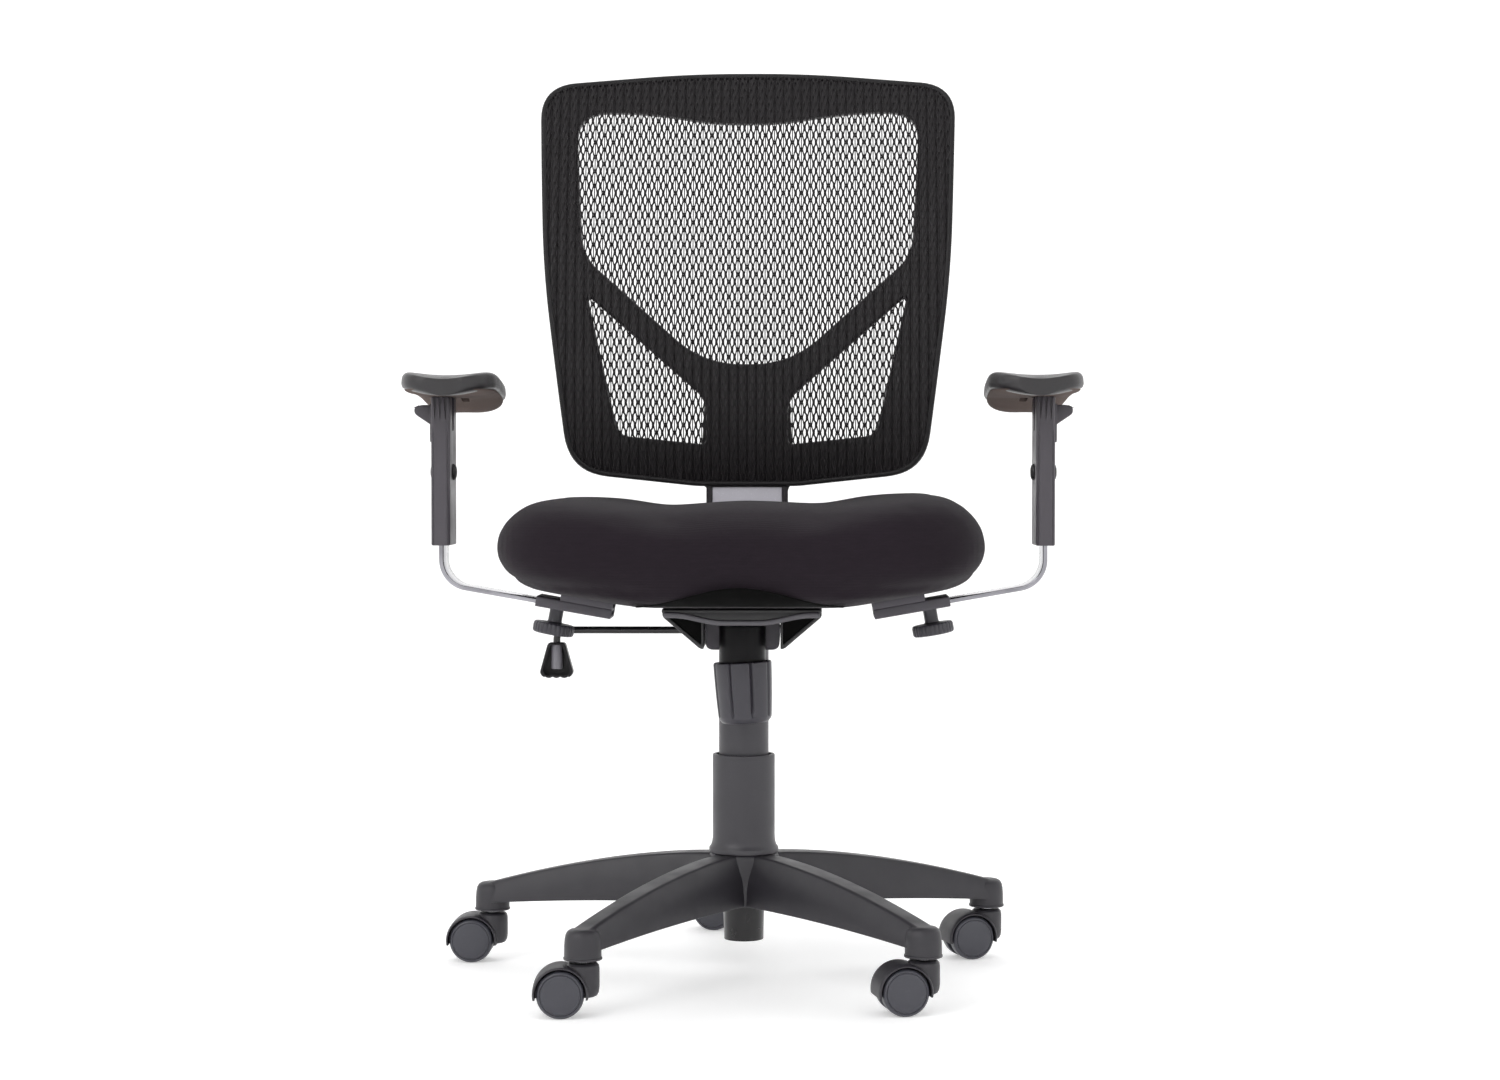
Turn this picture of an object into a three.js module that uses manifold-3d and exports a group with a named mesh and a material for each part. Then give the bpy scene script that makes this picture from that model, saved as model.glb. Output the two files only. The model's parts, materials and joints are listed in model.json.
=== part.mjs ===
// Swivel office chair: five-star base on twin-wheel casters, gas lift, tilt mechanism, padded
// seat, mesh back and adjustable arms. Millimetres, +Z up. The sitter faces -Y, so the sitter's
// right hand is on the -X side. The origin is on the floor under the middle of the chair.
import * as THREE from 'three';
import { mergeVertices } from 'three/addons/utils/BufferGeometryUtils.js';
import Module from 'manifold-3d';

const wasm = await Module();
wasm.setup();

// ---------------------------------------------------------------- driving dimensions
const DEG = Math.PI / 180;
const GAP = 0.3;                 // clearance between pieces that touch
const COLUMN_Y = -30;            // the column's axis stands ahead of the middle of the chair

const ARM_COUNT = 5;
const STEM_CIRCLE = 302;         // radius of the circle through the caster stems
const BASE_TURN = 3.5 * DEG;     // turn of the star about the column
const HUB_BOTTOM = 80;
const HUB_TOP = 137;
const HUB_RADIUS = 40;
const ARM_TIP_TOP = 91;
const ARM_TIP_BOTTOM = 68;
const BOSS_BOTTOM = 59;
const BOSS_RADIUS = 19.5;

const COLUMN_RADIUS = 25;
const COLUMN_FOOT = 38.6;
const COLUMN_TOP = 240;
const TAPER_TOP = 150;           // below this height the column narrows
const TAPER_SLOPE = 0.025;
const PRESSURE_RADIUS = 14;
const ROD_RADIUS = 5;

const WHEEL_RADIUS = 25;         // apothem of the tread, so that a flat of it rests on the floor
const WHEEL_SIDES = 16;
const CASTER_TRAIL = 23;
const HOOD_RADIUS = 29.5;
const HOOD_TOP = 56;
const HOOD_LOW = 20;
const CASTER_STEM_RADIUS = 5.5;
const WEB_HALF = 7.2;            // half thickness of the hood's middle, between the two wheels
const CASTER_YAWS = [-8, 0, 3, 12, 17].map((degrees) => degrees * DEG);

const HOUSING_LOW = 369;
const PIVOT_Y = -44;
const PIVOT_Z = 391;
const BARREL_Y = -80;
const BARREL_LOW = 352;
const BARREL_RADIUS = 25.5;
const KNOB_LEAN = -3 * DEG;
const LEVER_Y = 2;
const LEVER_Z = 387;
const LEVER_REACH = 211;

const PLATE_LOW = 412;
const PLATE_TOP = 416;
const PLATE_HALF = 87;
const PLATE_FRONT = -118;
const LIP_HALF = 84;
const LIP_LOW = 399;             // lowest height of the plate's front lip, at its middle
const PLATE_REAR = 135;
const PAN_SLOPE = 11 * DEG;
const PAN_FLAT = 110;            // half width of the level middle of the seat pan

const SEAT_MIDDLE_Y = -34;
const SEAT_HALF_DEPTH = 231;
const SEAT_MIDDLE_Z = 485;

const BAR_WIDTH = 84;            // back bar
const BAR_THICK = 6;
const BAR_FRONT = 205;
const BAR_TOP = 650;

const BACK_TOP = 1050;
const BACK_HALF = 251;
const BACK_FOOT = 548;
const LUMBAR_Z = 670;
const LUMBAR_Y = 187;
const BACK_BOW = 8;              // how far the side edges come forward
const MESH_THICK = 1.2;
const FRAME_FRONT = 3.2;         // frame's front face behind the mesh's front face
const FRAME_DEPTH = 22;

const ARM_Y = -40;
const ARM_X = 333;
const ARM_SLOPE = 10 * DEG;
const BEND_RADIUS = 32;
const STRAP_WIDTH = 50;
const STRAP_THICK = 5;
const STRAP_INNER_X = 160;
const STRAP_REF_X = 228;         // the strap's middle passes this point at STRAP_REF_Z
const STRAP_REF_Z = 423;
const STRAP_TOP = 642;
const KNOB_X = 206;
const POST_LOW = 484;
const POST_TOP = 648;
const POST_HALF = 10.4;
const POST_DEPTH = 62;
const BOLT_Z = 565;
const HEIGHT_TRAVEL = 60;
const PAD_X = 320;
const PAD_SPLIT = 655;           // height where the pad sits on its shell
const PAD_MIDDLE_Y = -25;
const PAD_HALF_LENGTH = 125;

// ---------------------------------------------------------------- geometry helpers
function signedVolume(geometry) {
  const index = geometry.index.array;
  const place = geometry.attributes.position;
  const corner = [new THREE.Vector3(), new THREE.Vector3(), new THREE.Vector3()];
  let total = 0;
  for (let i = 0; i < index.length; i += 3) {
    corner.forEach((point, k) => point.fromBufferAttribute(place, index[i + k]));
    total += corner[0].dot(corner[1].clone().cross(corner[2])) / 6;
  }
  return total;
}

// One closed shell: shared corners merged, flat triangles dropped, faces pointing out.
function weld(source) {
  const plain = source.clone();
  ['normal', 'uv'].forEach((name) => plain.deleteAttribute(name));
  const merged = mergeVertices(plain, 1e-4);
  const index = merged.index.array;
  const kept = [];
  for (let i = 0; i < index.length; i += 3) {
    const [a, b, c] = [index[i], index[i + 1], index[i + 2]];
    if (a !== b && b !== c && c !== a) kept.push(a, b, c);
  }
  merged.setIndex(kept);
  if (signedVolume(merged) < 0) {
    for (let i = 0; i < kept.length; i += 3) [kept[i], kept[i + 1]] = [kept[i + 1], kept[i]];
    merged.setIndex(kept);
  }
  return merged;
}

function solidOf(geometry) {
  const welded = weld(geometry);
  return new wasm.Manifold(new wasm.Mesh({
    numProp: 3,
    vertProperties: new Float32Array(welded.attributes.position.array),
    triVerts: new Uint32Array(welded.index.array),
  }));
}

function geometryOf(solid) {
  const result = solid.getMesh();
  const geometry = new THREE.BufferGeometry();
  geometry.setAttribute('position', new THREE.BufferAttribute(result.vertProperties, 3));
  geometry.setIndex(Array.from(result.triVerts));
  return geometry;
}

const join = (first, ...rest) => geometryOf(rest.reduce((s, g) => s.add(solidOf(g)), solidOf(first)));
const cut = (first, ...rest) => geometryOf(rest.reduce((s, g) => s.subtract(solidOf(g)), solidOf(first)));
const common = (first, second) => geometryOf(solidOf(first).intersect(solidOf(second)));

// Turns a profile of [radius, height] corners about Z.
function turned(profile, sides, facetFirst = true) {
  const points = profile.map(([radius, height]) => new THREE.Vector2(Math.max(radius, 0), height));
  const start = facetFirst ? Math.PI / sides : 0;
  const geometry = new THREE.LatheGeometry(points, sides, start);
  return weld(geometry.rotateX(Math.PI / 2));
}

// A tube about Z between two heights.
const ring = (outer, inner, low, high, sides) => turned(
  [[inner, low], [outer, low], [outer, high], [inner, high], [inner, low]], sides);

const disc = (radius, low, high, sides) => turned(
  [[0, low], [radius, low], [radius, high], [0, high]], sides);

function block(x0, x1, y0, y1, z0, z1) {
  const geometry = new THREE.BoxGeometry(x1 - x0, y1 - y0, z1 - z0);
  return geometry.translate((x0 + x1) / 2, (y0 + y1) / 2, (z0 + z1) / 2);
}

function extruded(outline, length, curveSegments = 3) {
  const shape = Array.isArray(outline)
    ? new THREE.Shape(outline.map(([x, y]) => new THREE.Vector2(x, y))) : outline;
  return new THREE.ExtrudeGeometry(shape, { depth: length, bevelEnabled: false, curveSegments });
}

// An outline in X and Z, pushed along Y from y0 to y1.
function prismY(outline, y0, y1) {
  const axes = new THREE.Matrix4().makeBasis(
    new THREE.Vector3(1, 0, 0), new THREE.Vector3(0, 0, 1), new THREE.Vector3(0, -1, 0));
  return extruded(outline, y1 - y0).applyMatrix4(axes).translate(0, y1, 0);
}

// An outline in Y and Z, pushed along X from x0 to x1.
function prismX(outline, x0, x1) {
  const axes = new THREE.Matrix4().makeBasis(
    new THREE.Vector3(0, 1, 0), new THREE.Vector3(0, 0, 1), new THREE.Vector3(1, 0, 0));
  return extruded(outline, x1 - x0).applyMatrix4(axes).translate(x0, 0, 0);
}

const alongX = (geometry) => geometry.rotateY(Math.PI / 2);
const alongY = (geometry) => geometry.rotateX(-Math.PI / 2);

// A skin through equal rings of points, closed by a flat cap at each end.
function loft(rings, capOutline) {
  const count = rings[0].length;
  const position = rings.flat(2);
  const index = [];
  for (let i = 0; i + 1 < rings.length; i += 1) {
    for (let j = 0; j < count; j += 1) {
      const next = (j + 1) % count;
      const [a, b] = [i * count + j, i * count + next];
      index.push(a, b, b + count, a, b + count, a + count);
    }
  }
  const flat = capOutline.map(([x, y]) => new THREE.Vector2(x, y));
  const last = (rings.length - 1) * count;
  THREE.ShapeUtils.triangulateShape(flat, []).forEach(([a, b, c]) => {
    index.push(a, c, b, last + a, last + b, last + c);
  });
  const geometry = new THREE.BufferGeometry();
  geometry.setAttribute('position', new THREE.Float32BufferAttribute(position, 3));
  geometry.setIndex(index);
  return weld(geometry);
}

// A closed outline through [x, y, reach] corners; reach is how far back a corner's curve starts.
function roundedShape(corners) {
  const shape = new THREE.Shape();
  const point = (k) => new THREE.Vector2(...corners[(k + corners.length) % corners.length]);
  corners.forEach(([, , reach = 0], k) => {
    const here = point(k);
    const before = point(k - 1).sub(here).setLength(reach).add(here);
    const after = point(k + 1).sub(here).setLength(reach).add(here);
    if (k === 0) shape.moveTo(before.x, before.y);
    else shape.lineTo(before.x, before.y);
    if (reach > 0) shape.quadraticCurveTo(here.x, here.y, after.x, after.y);
  });
  shape.closePath();
  return shape;
}

const mirroredCorners = (half) => [...half, ...half.map(([x, y, r]) => [-x, y, r]).reverse()];

// Splits every edge that is longer than the limit, so that a flat plate can be bent.
function refined(source, limit) {
  const start = weld(source);
  const points = [];
  for (let i = 0; i < start.attributes.position.count; i += 1) {
    points.push(new THREE.Vector3().fromBufferAttribute(start.attributes.position, i));
  }
  let faces = [];
  for (let i = 0; i < start.index.count; i += 3) {
    faces.push([0, 1, 2].map((k) => start.index.array[i + k]));
  }
  for (let changed = true; changed;) {
    const middles = new Map();
    const next = [];
    faces.forEach((face) => {
      const lengths = face.map((a, k) => points[a].distanceTo(points[face[(k + 1) % 3]]));
      const longest = lengths.indexOf(Math.max(...lengths));
      const [a, b, c] = [0, 1, 2].map((k) => face[(longest + k) % 3]);
      if (lengths[longest] > limit) middles.set([a, b].sort((p, q) => p - q).join(), [a, b, c]);
    });
    changed = middles.size > 0;
    const made = new Map();
    middles.forEach(([a, b], key) => {
      made.set(key, points.length);
      points.push(points[a].clone().add(points[b]).multiplyScalar(0.5));
    });
    faces.forEach((face) => splitFace(face, made, next));
    faces = next;
  }
  const geometry = new THREE.BufferGeometry();
  const flat = points.flatMap((point) => point.toArray());
  geometry.setAttribute('position', new THREE.Float32BufferAttribute(flat, 3));
  geometry.setIndex(faces.flat());
  return geometry;
}

// Replaces a triangle by the two, three or four that its split edges make.
function splitFace(face, made, next) {
  const middle = face.map((a, k) => made.get([a, face[(k + 1) % 3]].sort((p, q) => p - q).join()));
  const split = [0, 1, 2].filter((k) => middle[k] !== undefined);
  if (split.length === 0) {
    next.push(face);
    return;
  }
  if (split.length === 3) {
    const [p, q, r] = middle;
    next.push([face[0], p, r], [p, face[1], q], [r, q, face[2]], [p, q, r]);
    return;
  }
  const first = split.length === 1 ? split[0] : [0, 1, 2].find((k) => middle[(k + 2) % 3] === undefined);
  const [a, b, c] = [0, 1, 2].map((k) => face[(first + k) % 3]);
  const [p, q] = [middle[first], middle[(first + 1) % 3]];
  if (split.length === 1) next.push([a, p, c], [p, b, c]);
  else next.push([p, b, q], [a, p, q], [a, q, c]);
}

// ---------------------------------------------------------------- materials
const material = (color, roughness, metalness = 0) => new THREE.MeshStandardMaterial(
  { color, roughness, metalness });
const nylon = () => material('#39383c', 0.55);
const smoothPlastic = () => material('#403d42', 0.45);
const darkPlastic = () => material('#2a272a', 0.6);
const blackSteel = () => material('#232125', 0.4, 0.6);
const greySteel = () => material('#8f8d95', 0.35, 0.8);
const chrome = () => material('#c9c9cf', 0.12, 1);
const brightSteel = () => material('#b5b5b8', 0.3, 0.9);
const fabric = () => material('#2b252b', 0.95);
const meshCloth = () => material('#2a2527', 0.8);
const foamPad = () => material('#4b474a', 0.5);
const padUnderside = () => material('#655954', 0.5);

const chair = new THREE.Group();
chair.position.y = COLUMN_Y;

function add(parent, name, geometry, finish) {
  const mesh = new THREE.Mesh(weld(geometry), finish);
  mesh.name = name;
  parent.add(mesh);
  return mesh;
}

// ---------------------------------------------------------------- five-star base
const columnRadiusAt = (z) => COLUMN_RADIUS - TAPER_SLOPE * Math.max(TAPER_TOP - z, 0);

// One arm along +X: a hollow moulding, open below, with sloping sides and a narrow flat top.
function starArm() {
  const stations = [0, 0.22, 0.44, 0.66, 0.84, 1];
  const wall = 3.5;
  const section = (s) => {
    const top = HUB_TOP - 0.5 - (HUB_TOP - ARM_TIP_TOP) * s ** 1.7;
    const low = HUB_BOTTOM + 0.5 - (HUB_BOTTOM - ARM_TIP_BOTTOM) * s ** 2;
    const foot = 24 - 5 * s;
    const crest = 13.5 - 2.5 * s;
    const waist = low + 0.5 * (top - low);
    return [[-foot, low], [wall - foot, low], [1.5 - crest, top - 5], [crest - 1.5, top - 5],
      [foot - wall, low], [foot, low], [foot - 2, waist], [crest, top], [-crest, top],
      [2 - foot, waist]];
  };
  const reach = (s) => 32 + (STEM_CIRCLE - 32) * s;
  const skin = loft(stations.map((s) => section(s).map(([y, z]) => [reach(s), y, z])), section(0));
  const ribs = [0.36, 0.62].map((s) => {
    const [top, half] = [section(s)[7][1] - 6, section(s)[5][0] - 3];
    return block(reach(s) - 1.5, reach(s) + 1.5, -half, half, 76, top);
  });
  const envelope = loft(
    stations.map((s) => [0, 5, 6, 7, 8, 9].map((k) => [reach(s), ...section(s)[k]])),
    [0, 5, 6, 7, 8, 9].map((k) => section(0)[k]));
  return join(skin, ...ribs.map((rib) => common(rib, envelope)));
}

function starBase() {
  const boreTop = columnRadiusAt(HUB_TOP) + GAP;
  const boreLow = columnRadiusAt(HUB_BOTTOM) + GAP;
  const hub = turned([[boreLow, HUB_BOTTOM], [HUB_RADIUS + 2, HUB_BOTTOM], [HUB_RADIUS, HUB_TOP - 6],
    [HUB_RADIUS - 3, HUB_TOP], [boreTop, HUB_TOP], [boreLow, HUB_BOTTOM]], 24);
  const bore = turned([[0, HUB_BOTTOM - 5], [boreLow - 0.12, HUB_BOTTOM - 5], [boreTop + 0.12, HUB_TOP + 5],
    [0, HUB_TOP + 5]], 24);
  const boss = turned([[0, ARM_TIP_TOP], [11, ARM_TIP_TOP - 1.5], [16.5, ARM_TIP_TOP - 7],
    [BOSS_RADIUS, ARM_TIP_TOP - 17], [BOSS_RADIUS, BOSS_BOTTOM], [0, BOSS_BOTTOM]], 12);
  const socket = disc(CASTER_STEM_RADIUS + GAP + 0.2, BOSS_BOTTOM - 1, 84, 10);
  let base = hub;
  for (let k = 0; k < ARM_COUNT; k += 1) {
    const angle = Math.PI / 2 + BASE_TURN + (2 * Math.PI * k) / ARM_COUNT;
    const end = boss.clone().translate(STEM_CIRCLE, 0, 0);
    base = join(base, join(starArm(), end).rotateZ(angle));
  }
  base = cut(base, bore);
  for (let k = 0; k < ARM_COUNT; k += 1) {
    const angle = Math.PI / 2 + BASE_TURN + (2 * Math.PI * k) / ARM_COUNT;
    base = cut(base, socket.clone().translate(STEM_CIRCLE, 0, 0).rotateZ(angle));
  }
  return base;
}

// ---------------------------------------------------------------- gas lift
function columnTube() {
  const inner = COLUMN_RADIUS - 1.8;
  return turned([[7, COLUMN_FOOT], [columnRadiusAt(COLUMN_FOOT), COLUMN_FOOT],
    [COLUMN_RADIUS, TAPER_TOP], [COLUMN_RADIUS, COLUMN_TOP], [inner, COLUMN_TOP],
    [inner, TAPER_TOP - 20], [columnRadiusAt(COLUMN_FOOT) - 2.4, COLUMN_FOOT + 4], [7, COLUMN_FOOT + 4],
    [7, COLUMN_FOOT]], 20);
}

function guideBush() {
  const inner = PRESSURE_RADIUS + GAP;
  const shank = COLUMN_RADIUS - 1.8 - 0.4;
  return turned([[inner, COLUMN_TOP - 18], [shank, COLUMN_TOP - 18], [shank, COLUMN_TOP + GAP],
    [COLUMN_RADIUS - 0.5, COLUMN_TOP + GAP], [COLUMN_RADIUS - 0.5, COLUMN_TOP + 3], [inner, COLUMN_TOP + 3],
    [inner, COLUMN_TOP - 18]], 20);
}

function lowerCover() {
  const inner = 31.5;
  return turned([[inner, HUB_TOP + GAP], [39, HUB_TOP + GAP], [39, HUB_TOP + 6], [36, HUB_TOP + 10],
    [35, HUB_TOP + 14], [35, 248], [inner, 248], [inner, HUB_TOP + GAP]], 20);
}

function pistonRod() {
  return turned([[0, 40], [ROD_RADIUS, 40], [ROD_RADIUS, 48], [9, 48], [9, 51], [ROD_RADIUS, 51],
    [ROD_RADIUS, 228], [10.6, 228], [10.6, 238], [0, 238]], 12);
}

function pressureTube() {
  return turned([[11, 155], [PRESSURE_RADIUS, 155], [PRESSURE_RADIUS, 374], [3.4, 374], [3.4, 366],
    [11, 366], [11, 155]], 16);
}

// ---------------------------------------------------------------- casters
// A caster stands on its stem axis, with its wheels trailing towards -X.
function casterHood() {
  const axle = (geometry) => alongY(geometry).translate(-CASTER_TRAIL, 0, WHEEL_RADIUS);
  const fender = axle(disc(HOOD_RADIUS, -22, 22, 20));
  const housing = disc(17.5, HOOD_LOW - 1, HOOD_TOP, 16);
  const bays = [[WEB_HALF, 30], [-30, -WEB_HALF]].map(([low, high]) => axle(disc(26.6, low, high, 20)));
  const axleHole = axle(disc(3.4, -10, 10, 10));
  const below = block(-80, 40, -40, 40, -20, HOOD_LOW);
  const bore = disc(CASTER_STEM_RADIUS + GAP + 0.1, 30, HOOD_TOP + 5, 10);
  return cut(join(fender, housing), ...bays, axleHole, below, bore);
}

function casterStem() {
  const radius = CASTER_STEM_RADIUS;
  return turned([[0, 31], [radius, 31], [radius, HOOD_TOP + GAP], [9, HOOD_TOP + GAP],
    [9, BOSS_BOTTOM - GAP], [radius, BOSS_BOTTOM - GAP], [radius, 83], [0, 83]], 10);
}

// A wheel on the +Y side; the first wheel of a pair carries the axle, the second its bore.
function wheel(hasAxle) {
  const tread = WHEEL_RADIUS / Math.cos(Math.PI / WHEEL_SIDES);
  const inner = WEB_HALF + GAP;
  const face = [[tread, inner + 1], [tread, 18], [22.5, 22], [0, 23.6]];
  const core = hasAxle
    ? [[0, -18], [3, -18], [3, inner], [tread - 1, inner]]
    : [[0, 19.5], [3.3, 19.5], [3.3, inner], [tread - 1, inner]];
  return alongY(turned([...core, ...face], WHEEL_SIDES));
}

function caster(parent, number, yaw) {
  const group = new THREE.Group();
  const angle = Math.PI / 2 + BASE_TURN + (2 * Math.PI * (number - 1)) / ARM_COUNT;
  group.position.set(STEM_CIRCLE * Math.cos(angle), STEM_CIRCLE * Math.sin(angle), 0);
  group.rotation.z = yaw;
  parent.add(group);
  add(group, `caster_hood_${number}`, casterHood(), nylon());
  add(group, `caster_stem_${number}`, casterStem(), brightSteel());
  const first = add(group, `wheel_a_${number}`, wheel(true), smoothPlastic());
  const second = add(group, `wheel_b_${number}`, wheel(false), smoothPlastic());
  first.position.set(-CASTER_TRAIL, 0, WHEEL_RADIUS);
  second.position.set(-CASTER_TRAIL, 0, WHEEL_RADIUS);
  second.rotation.z = Math.PI;
}

// ---------------------------------------------------------------- tilt mechanism
function tiltHousing() {
  const side = [[-70, HOUSING_LOW + 4], [-66, HOUSING_LOW], [56, HOUSING_LOW], [62, HOUSING_LOW + 5],
    [62, 384], [10, 391], [-30, 398], [-70, 398]];
  const across = roundedShape([[-39, HOUSING_LOW, 9], [39, HOUSING_LOW, 9], [39, 402], [-39, 402]]);
  const shell = common(prismX(side, -39, 39), prismY(across, -80, 80));
  const hollow = block(-36, 36, -66, 58.5, HOUSING_LOW + 3.5, 410);
  const boss = disc(20, HOUSING_LOW, 378, 20);
  const barrelBay = disc(BARREL_RADIUS + GAP + 0.3, 340, 410, 24).translate(0, BARREL_Y, 0);
  const pinHoles = alongX(disc(5.3, -60, 60, 12)).translate(0, PIVOT_Y, PIVOT_Z);
  const leverHole = alongX(disc(6.5, -60, -20, 12)).translate(0, LEVER_Y, LEVER_Z);
  const tubeHole = disc(PRESSURE_RADIUS + GAP, 340, 410, 20);
  const tray = join(cut(shell, hollow), boss);
  return cut(tray, barrelBay, pinHoles, leverHole, tubeHole);
}

function springBarrel() {
  const inner = BARREL_RADIUS - 3;
  const profile = [[9, BARREL_LOW], [BARREL_RADIUS, BARREL_LOW], [BARREL_RADIUS, 397], [inner, 397],
    [inner, BARREL_LOW + 4], [9, BARREL_LOW + 4], [9, BARREL_LOW]];
  return turned(profile, 20).translate(0, BARREL_Y, 0);
}

// Helix of round wire, drawn with few sides.
function tiltSpring() {
  const turns = 3;
  const low = BARREL_LOW + 7;
  const rise = 31;
  class Helix extends THREE.Curve {
    getPoint(t) {
      const angle = 2 * Math.PI * turns * t;
      return new THREE.Vector3(17.5 * Math.cos(angle), 17.5 * Math.sin(angle), low + rise * t);
    }
  }
  const wire = new THREE.Shape();
  wire.absarc(0, 0, 2.2, 0, 2 * Math.PI);
  const spring = new THREE.ExtrudeGeometry(wire, {
    steps: turns * 10, curveSegments: 3, bevelEnabled: false, extrudePath: new Helix(),
  });
  return weld(spring).translate(0, BARREL_Y, 0);
}

// The knob's own frame has its origin at the mouth of the barrel and its axis along Z.
function tensionKnob() {
  const body = turned([[0, -16], [6.5, -16], [6.5, -8], [27.6, -8], [27.6, 0], [31, 0], [32, -2], [31, -36],
    [29.3, -60], [25, -66.5], [20, -66.5], [20, -56], [0, -56]], 24);
  const flutes = [];
  for (let k = 0; k < 8; k += 1) {
    const flute = disc(2, -58, 4, 6).translate(32.4, 0, 0);
    flutes.push(flute.rotateZ((k + 0.4) * 45 * DEG));
  }
  return cut(body, ...flutes);
}

const tensionBolt = () => disc(5, -15.7, 33, 12);

function leverRod() {
  const route = new THREE.CurvePath();
  const bend = 11;
  const [inner, outer] = [39 + 10, 39 - LEVER_REACH];
  const place = (x, z) => new THREE.Vector3(x, 0, z);
  route.add(new THREE.LineCurve3(place(inner, 0), place(outer + bend, 0)));
  route.add(new THREE.QuadraticBezierCurve3(place(outer + bend, 0), place(outer, 0), place(outer, -bend)));
  route.add(new THREE.LineCurve3(place(outer, -bend), place(outer, -41)));
  const section = new THREE.Shape();
  section.absarc(0, 0, 4, 0, 2 * Math.PI);
  return new THREE.ExtrudeGeometry(section, {
    steps: 20, curveSegments: 4, bevelEnabled: false, extrudePath: route,
  });
}

// Flared hollow grip around the lower end of the lever, open towards the front.
function leverPaddle() {
  const outline = (inset) => {
    const [top, low] = [19 - inset, -21 + inset];
    const shape = new THREE.Shape();
    shape.moveTo(-9 + inset, top);
    shape.lineTo(9 - inset, top);
    shape.lineTo(19 - 1.3 * inset, low + 5);
    shape.quadraticCurveTo(19 - 1.3 * inset, low, 13 - inset, low);
    shape.quadraticCurveTo(0, low + 2, -13 + inset, low);
    shape.quadraticCurveTo(-19 + 1.3 * inset, low, -19 + 1.3 * inset, low + 5);
    return shape;
  };
  const shell = cut(prismY(outline(0), -8, 8), prismY(outline(2.6), -9, 5.5));
  const sleeve = disc(6.3, -11, 17, 14);
  const hole = disc(4 + GAP, -9, 25, 12);
  return cut(join(shell, sleeve), hole).translate(0, 0, -33);
}

// Stamped plate with a drooping front lip and a triangular side rail over each pivot ear.
function seatPlate() {
  const plate = extruded(roundedShape([[-PLATE_HALF, PLATE_FRONT, 6], [PLATE_HALF, PLATE_FRONT, 6],
    [PLATE_HALF, PLATE_REAR, 18], [-PLATE_HALF, PLATE_REAR, 18]]), PLATE_TOP - PLATE_LOW)
    .translate(0, 0, PLATE_LOW);
  const lipShape = new THREE.Shape();
  lipShape.moveTo(-LIP_HALF, PLATE_TOP);
  lipShape.lineTo(-LIP_HALF, LIP_LOW + 9);
  lipShape.quadraticCurveTo(-44, LIP_LOW, 0, LIP_LOW);
  lipShape.quadraticCurveTo(44, LIP_LOW, LIP_HALF, LIP_LOW + 9);
  lipShape.lineTo(LIP_HALF, PLATE_TOP);
  const lip = prismY(lipShape, PLATE_FRONT, PLATE_FRONT + 3);
  const rail = (side) => {
    const outer = [[42, PLATE_TOP - 1], [42, 372], [45, 372], [PLATE_HALF, 408], [PLATE_HALF, PLATE_TOP - 1]];
    const inner = [[44.6, PLATE_LOW], [44.6, 375.3], [83.5, 408.2], [83.5, PLATE_LOW]];
    const turn = (corners) => corners.map(([x, z]) => [side * x, z]);
    return cut(prismY(turn(outer), -98, -16), prismY(turn(inner), -99, -15));
  };
  const pinHoles = alongX(disc(5.3, -60, 60, 12)).translate(0, PIVOT_Y, PIVOT_Z);
  return cut(join(plate, lip, rail(1), rail(-1)), pinHoles);
}

// ---------------------------------------------------------------- seat
function seatPan(grow = 0) {
  const [low, high] = [PLATE_TOP + GAP - grow, 423.3 + grow];
  const half = 205 + grow;
  const rise = (half - PAN_FLAT) * Math.tan(PAN_SLOPE);
  const across = [[-half, low + rise], [-PAN_FLAT, low], [PAN_FLAT, low], [half, low + rise],
    [half, high + rise], [PAN_FLAT, high], [-PAN_FLAT, high], [-half, high + rise]];
  const [front, rear] = [-228 - grow, 162 + grow];
  const plan = roundedShape([[-half, front, 70], [half, front, 70], [half, rear, 70], [-half, rear, 70]]);
  return common(prismY(across, front - 1, rear + 1), extruded(plan, 200).translate(0, 0, 350));
}

function seatCushion() {
  const half = [[110, 419], [205, 437], [244, 447], [258, 465], [261, 487], [254, 513], [232, 534],
    [190, 541], [140, 537], [90, 531], [45, 533]];
  const outline = [...half, [0, 535], ...half.map(([x, z]) => [-x, z]).reverse()];
  const stations = [-1, -0.975, -0.91, -0.78, -0.45, 0, 0.45, 0.78, 0.91, 0.975, 1];
  const rings = stations.map((t) => {
    const wide = (1 - 0.985 * Math.abs(t) ** 6) ** (1 / 4.5);
    const tall = (1 - 0.98 * Math.abs(t) ** 5) ** (1 / 2.6);
    const y = SEAT_MIDDLE_Y + SEAT_HALF_DEPTH * t;
    return outline.map(([x, z]) => [x * wide, y, SEAT_MIDDLE_Z + (z - SEAT_MIDDLE_Z) * tall]);
  });
  return cut(loft(rings, outline), seatPan(0.5));
}

// ---------------------------------------------------------------- back
const backDepth = (x, z) => {
  const bend = z > LUMBAR_Z ? 0.00062 : 0.0009;
  return LUMBAR_Y + bend * (z - LUMBAR_Z) ** 2 - BACK_BOW * (x / BACK_HALF) ** 2;
};

// Moves a flat upright plate back onto the curved surface of the back.
function bent(geometry) {
  const place = geometry.attributes.position;
  for (let i = 0; i < place.count; i += 1) {
    place.setY(i, place.getY(i) + backDepth(place.getX(i), place.getZ(i)));
  }
  return geometry;
}

const backOutline = (inset) => roundedShape(mirroredCorners([
  [70, BACK_TOP + 1 - inset, 60], [BACK_HALF + 1 - inset, BACK_TOP - 15 - inset, 40],
  [BACK_HALF - 8 - inset, 805, 60], [213 - inset, 564 + inset, 44], [60, BACK_FOOT + inset, 8]]));

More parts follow.
